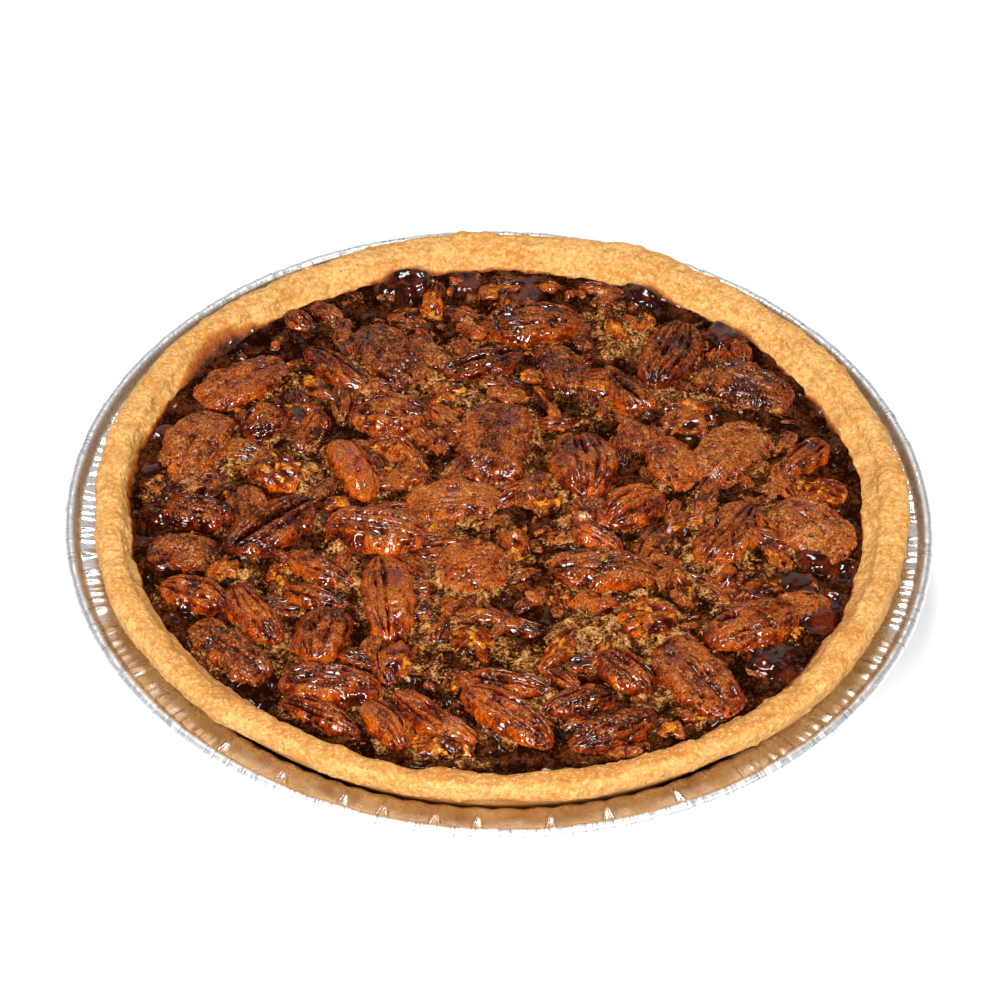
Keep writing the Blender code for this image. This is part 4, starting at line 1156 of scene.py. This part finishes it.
def tinGrid():
    # a closed section for each angle: base, wall, flange and bead outside, then the same back inside;
    # columns stand three times as close where the pleats are
    first, last = tin["pleats"]
    spread = np.radians(np.array([0.0, first, last, 360.0]))
    weight = np.concatenate([[0.0], np.cumsum(np.diff(spread) * np.array([1.0, 3.0, 1.0]))])
    angle = np.interp(np.arange(tin["columns"]) / tin["columns"] * weight[-1], weight, spread)
    seats, heights, leans, widths, alone = creaseSeats()
    drop = flangeDrop(angle)
    away = np.clip(np.abs(np.degrees(angle) - (first + last) / 2) / (last - first), 0.0, 1.0)
    swell = 0.30 * rimNoise(angle, 2.4, 72) + 0.12 * rimNoise(angle, 0.9, 76)
    swell = swell * (ease(away, 0.4, 0.6) * 0.8 + 0.2)

    def flangeRelief(radius):
        # each wrinkle is a ridge 1 - |arc| / w, wider towards the bead
        out = np.clip((radius - tin["wallTop"]) / 8.0, 0.0, 1.0)
        arc = (angle[:, None] - seats - leans * out + math.pi) % tau - math.pi
        arc = np.abs(arc * radius)
        ridge = np.clip(1.0 - arc / (widths * (0.45 + 0.9 * out)), 0.0, 1.0) * (0.5 + 0.5 * out)
        # a pleat is two sharp ridges that open like a V towards the bead
        fold = np.clip(1.0 - np.abs(arc - widths * (1.5 * out - 0.3)) / 0.55, 0.0, 1.0)
        fold = fold * ease(out, 0.12, 0.40) * (1.15 - 0.95 * out)
        raised = np.where(alone, fold, ridge) * heights
        strongest = np.abs(raised).argmax(axis=1)
        return tin["creaseRise"] * raised[np.arange(len(angle)), strongest] + swell - drop * (1.0 - out)

    rows = []

    def addRow(radius, height):
        rows.append(roundRow(radius, height, angle))

    foil, base, corner = tin["foil"], tin["baseRadius"], tin["corner"]

    def wallRow(share, inset):
        # share 0 at the base's corner, 1 at the flange; flutes fade in over the lowest part
        flute = tin["fluteDepth"] * (1.0 - 2.0 * fluteWave(angle) ** 1.3) * ease(np.array(share), 0.0, 0.3)
        radius = base + corner + (tin["wallTop"] - base - corner) * share
        height = 1.5 + (tin["flangeHeight"] - drop - 1.5) * share
        addRow(radius - inset + flute * (1.0 - 0.4 * share), height + inset * 0.4)

    for radius in (50.0, 88.0, base):
        addRow(radius, 0.0)
    for turn in np.radians((-60.0, -25.0)):
        addRow(base + corner * math.cos(turn) * 0.9, 1.5 + 1.5 * math.sin(turn))
    for share in np.linspace(0.04, 0.97, 12):
        wallRow(share, 0.0)
    for radius in np.linspace(tin["wallTop"] + 0.5, tin["flangeRadius"], 7):
        addRow(radius, tin["flangeHeight"] - foil + flangeRelief(radius))
    wobble = 0.10 * rimNoise(angle, 1.3, 74) + 0.07 * rimNoise(angle, 0.5, 75)
    size = tin["beadRadius"] * (1.0 + wobble)
    beadCentre = tin["outer"] - tin["beadRadius"]
    for turn in np.radians(np.linspace(-110.0, 185.0, 18)):
        addRow(beadCentre + size * math.cos(turn), tin["beadHeight"] + size * math.sin(turn) + 0.4 * wobble)
    for radius in np.linspace(tin["flangeRadius"], tin["wallTop"] + 0.5, 7):
        addRow(radius, tin["flangeHeight"] + flangeRelief(radius))
    for share in np.linspace(0.97, 0.04, 8):
        wallRow(share, foil)
    addRow(base - 0.3, foil + 0.1)
    addRow(50.0, foil)
    return np.stack(rows)


def makeTinMaterial():
    # bright metal streaked outwards, scratched and rougher on the bead, with painted shade in the hollows of
    # the flutes
    material, tree, shader = startMaterial("bright foil", Metallic=1.0)
    # noise drawn out from the middle to the rim
    radial = tree.nodes.new("ShaderNodeCombineXYZ")
    for axis, label in zip("XYZ", ("ringEast", "ringNorth", "outward")):
        feed(tree, radial.inputs[axis], calc(tree, "MULTIPLY", own(tree, label), mm))
    streak = spots(tree, 0.9, vector=radial.outputs[0], detail=3.0, rough=0.6)
    scratch = span(tree, spots(tree, 0.55, vector=radial.outputs[0], detail=2.0), 0.33, 0.44, 0.55, 1.0)
    cloud = spots(tree, 5.0, detail=3.0, rough=0.6)
    colour = blend(tree, streak, tin["dull"], tin["bright"])
    colour = blend(tree, own(tree, "bead"), colour, blend(tree, 1.0, colour, scratch, "MULTIPLY"))
    # painted shade: the foil is darkened in the hollows of the flutes
    shade = calc(tree, "MULTIPLY_ADD", own(tree, "hollow"), -tin["fluteShade"], 1.0)
    feed(tree, shader.inputs["Base Color"], blend(tree, 1.0, colour, shade, "MULTIPLY"))
    smooth = span(tree, cloud, 0.3, 0.7, 0.20, 0.30)
    feed(tree, shader.inputs["Roughness"], calc(tree, "MULTIPLY_ADD", own(tree, "bead"), 0.20, smooth))
    relief = calc(tree, "MULTIPLY_ADD", calc(tree, "MULTIPLY", scratch, own(tree, "bead")), 0.8, streak)
    feed(tree, shader.inputs["Normal"], bump(tree, relief, 0.6, 0.25))
    return material


def makeTin():
    # the section turned into a body, with values that tell its wall's flute hollows for painted shade, its
    # bead and the way outwards
    lowPole, highPole = np.array([0.0, 0.0, 0.0]), np.array([0.0, 0.0, tin["foil"]])
    points, faces = turnedBody(tinGrid(), lowPole, highPole)
    radius = np.maximum(np.hypot(points[:, 0], points[:, 1]), 1.0)
    onWall = ease(points[:, 2], 1.5, 6.0) * ease(points[:, 2], 26.0, 22.0) * (radius < tin["wallTop"] + 1.0)
    attributes = dict(
        # where the wall's flutes sink in, for painted shade in the material
        hollow=onWall * fluteWave(np.arctan2(points[:, 1], points[:, 0])) ** 5,
        ringEast=points[:, 0] / radius * 120.0, ringNorth=points[:, 1] / radius * 120.0,
        outward=0.12 * radius + 0.3 * points[:, 2],
        bead=ease(radius, tin["flangeRadius"] - 0.3, tin["flangeRadius"] + 0.6),
    )
    piece = putMesh("foil_pan", points, faces, attributes, makeTinMaterial(), "foil")
    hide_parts("foil_tin")


makeTin()
print("tin made")


# Stage, light and camera

stage = dict(
    floor=(0.92, 0.92, 0.92), floorSize=6.0, floorGlow=0.14,
    world=0.07,
    # place in metres, size, power, colour
    lights=(
        ((-0.40, -1.05, 0.80), 0.42, 17.0, (1.0, 0.985, 0.96)),
        ((0.60, -0.80, 0.95), 0.24, 8.5, (1.0, 1.0, 1.0)),
        ((-0.10, 0.15, 1.45), 0.35, 9.5, (1.0, 1.0, 1.0)),
        ((0.00, 1.90, 0.90), 2.20, 8.0, (1.0, 1.0, 1.0)),
        ((-1.50, 0.70, 0.50), 1.20, 2.6, (1.0, 1.0, 1.0)),
        ((1.50, 0.70, 0.50), 1.20, 2.6, (1.0, 1.0, 1.0)),
    ),
    aim=(0.0, 0.0, 0.03),
)

cameraView = dict(
    elevation=43.98, distance=1.0, height=0.0284, lens=127.7, roll=1.45, shift=(0.0006, 0.0095),
)


def makeStage():
    # a square floor, an even world and square lamps that face the pie
    half = stage["floorSize"] * 0.5
    corners = [(-half, -half, 0.0), (half, -half, 0.0), (half, half, 0.0), (-half, half, 0.0)]
    mesh = bpy.data.meshes.new("floor")
    mesh.from_pydata(corners, [], [(0, 1, 2, 3)])
    material, tree, shader = startMaterial(
        "pale floor", Roughness=0.9, Specular_IOR_Level=0.1,
        Emission_Color=(1.0, 1.0, 1.0, 1.0), Emission_Strength=stage["floorGlow"],
    )
    lighter = tuple(value * 1.02 for value in stage["floor"])
    feed(tree, shader.inputs["Base Color"], blend(tree, spots(tree, 40.0), stage["floor"], lighter))
    mesh.materials.append(material)
    floor = bpy.data.objects.new("floor", mesh)
    bpy.context.scene.collection.objects.link(floor)

    world = bpy.data.worlds.new("soft white")
    world.use_nodes = True
    background = world.node_tree.nodes["Background"].inputs
    background["Color"].default_value = (1.0, 1.0, 1.0, 1.0)
    background["Strength"].default_value = stage["world"]
    bpy.context.scene.world = world

    for index, (place, size, power, colour) in enumerate(stage["lights"]):
        lamp = bpy.data.lights.new(f"softbox{index}", "AREA")
        lamp.size = size
        lamp.energy = power
        lamp.color = colour
        holder = bpy.data.objects.new(f"softbox{index}", lamp)
        holder.location = place
        holder.rotation_euler = (Vector(place) - Vector(stage["aim"])).to_track_quat("Z", "Y").to_euler()
        bpy.context.scene.collection.objects.link(holder)


def makeCamera():
    # on a circle about the pie at its elevation, turned to look down at it and rolled a little
    c = cameraView
    data = bpy.data.cameras.new("camera")
    data.lens = c["lens"]
    data.sensor_width = 36.0
    data.shift_x, data.shift_y = c["shift"]
    camera = bpy.data.objects.new("camera", data)
    rise = math.radians(c["elevation"])
    camera.location = (0.0, -c["distance"] * math.cos(rise), c["height"] + c["distance"] * math.sin(rise))
    tilt = Matrix.Rotation(math.radians(90.0) - rise, 4, "X")
    roll = Matrix.Rotation(math.radians(c["roll"]), 4, "Z")
    camera.rotation_euler = (tilt @ roll).to_euler()
    bpy.context.scene.collection.objects.link(camera)
    bpy.context.scene.camera = camera


makeStage()
makeCamera()
bpy.context.scene.view_settings.view_transform = "Standard"
print("stage, light and camera set")
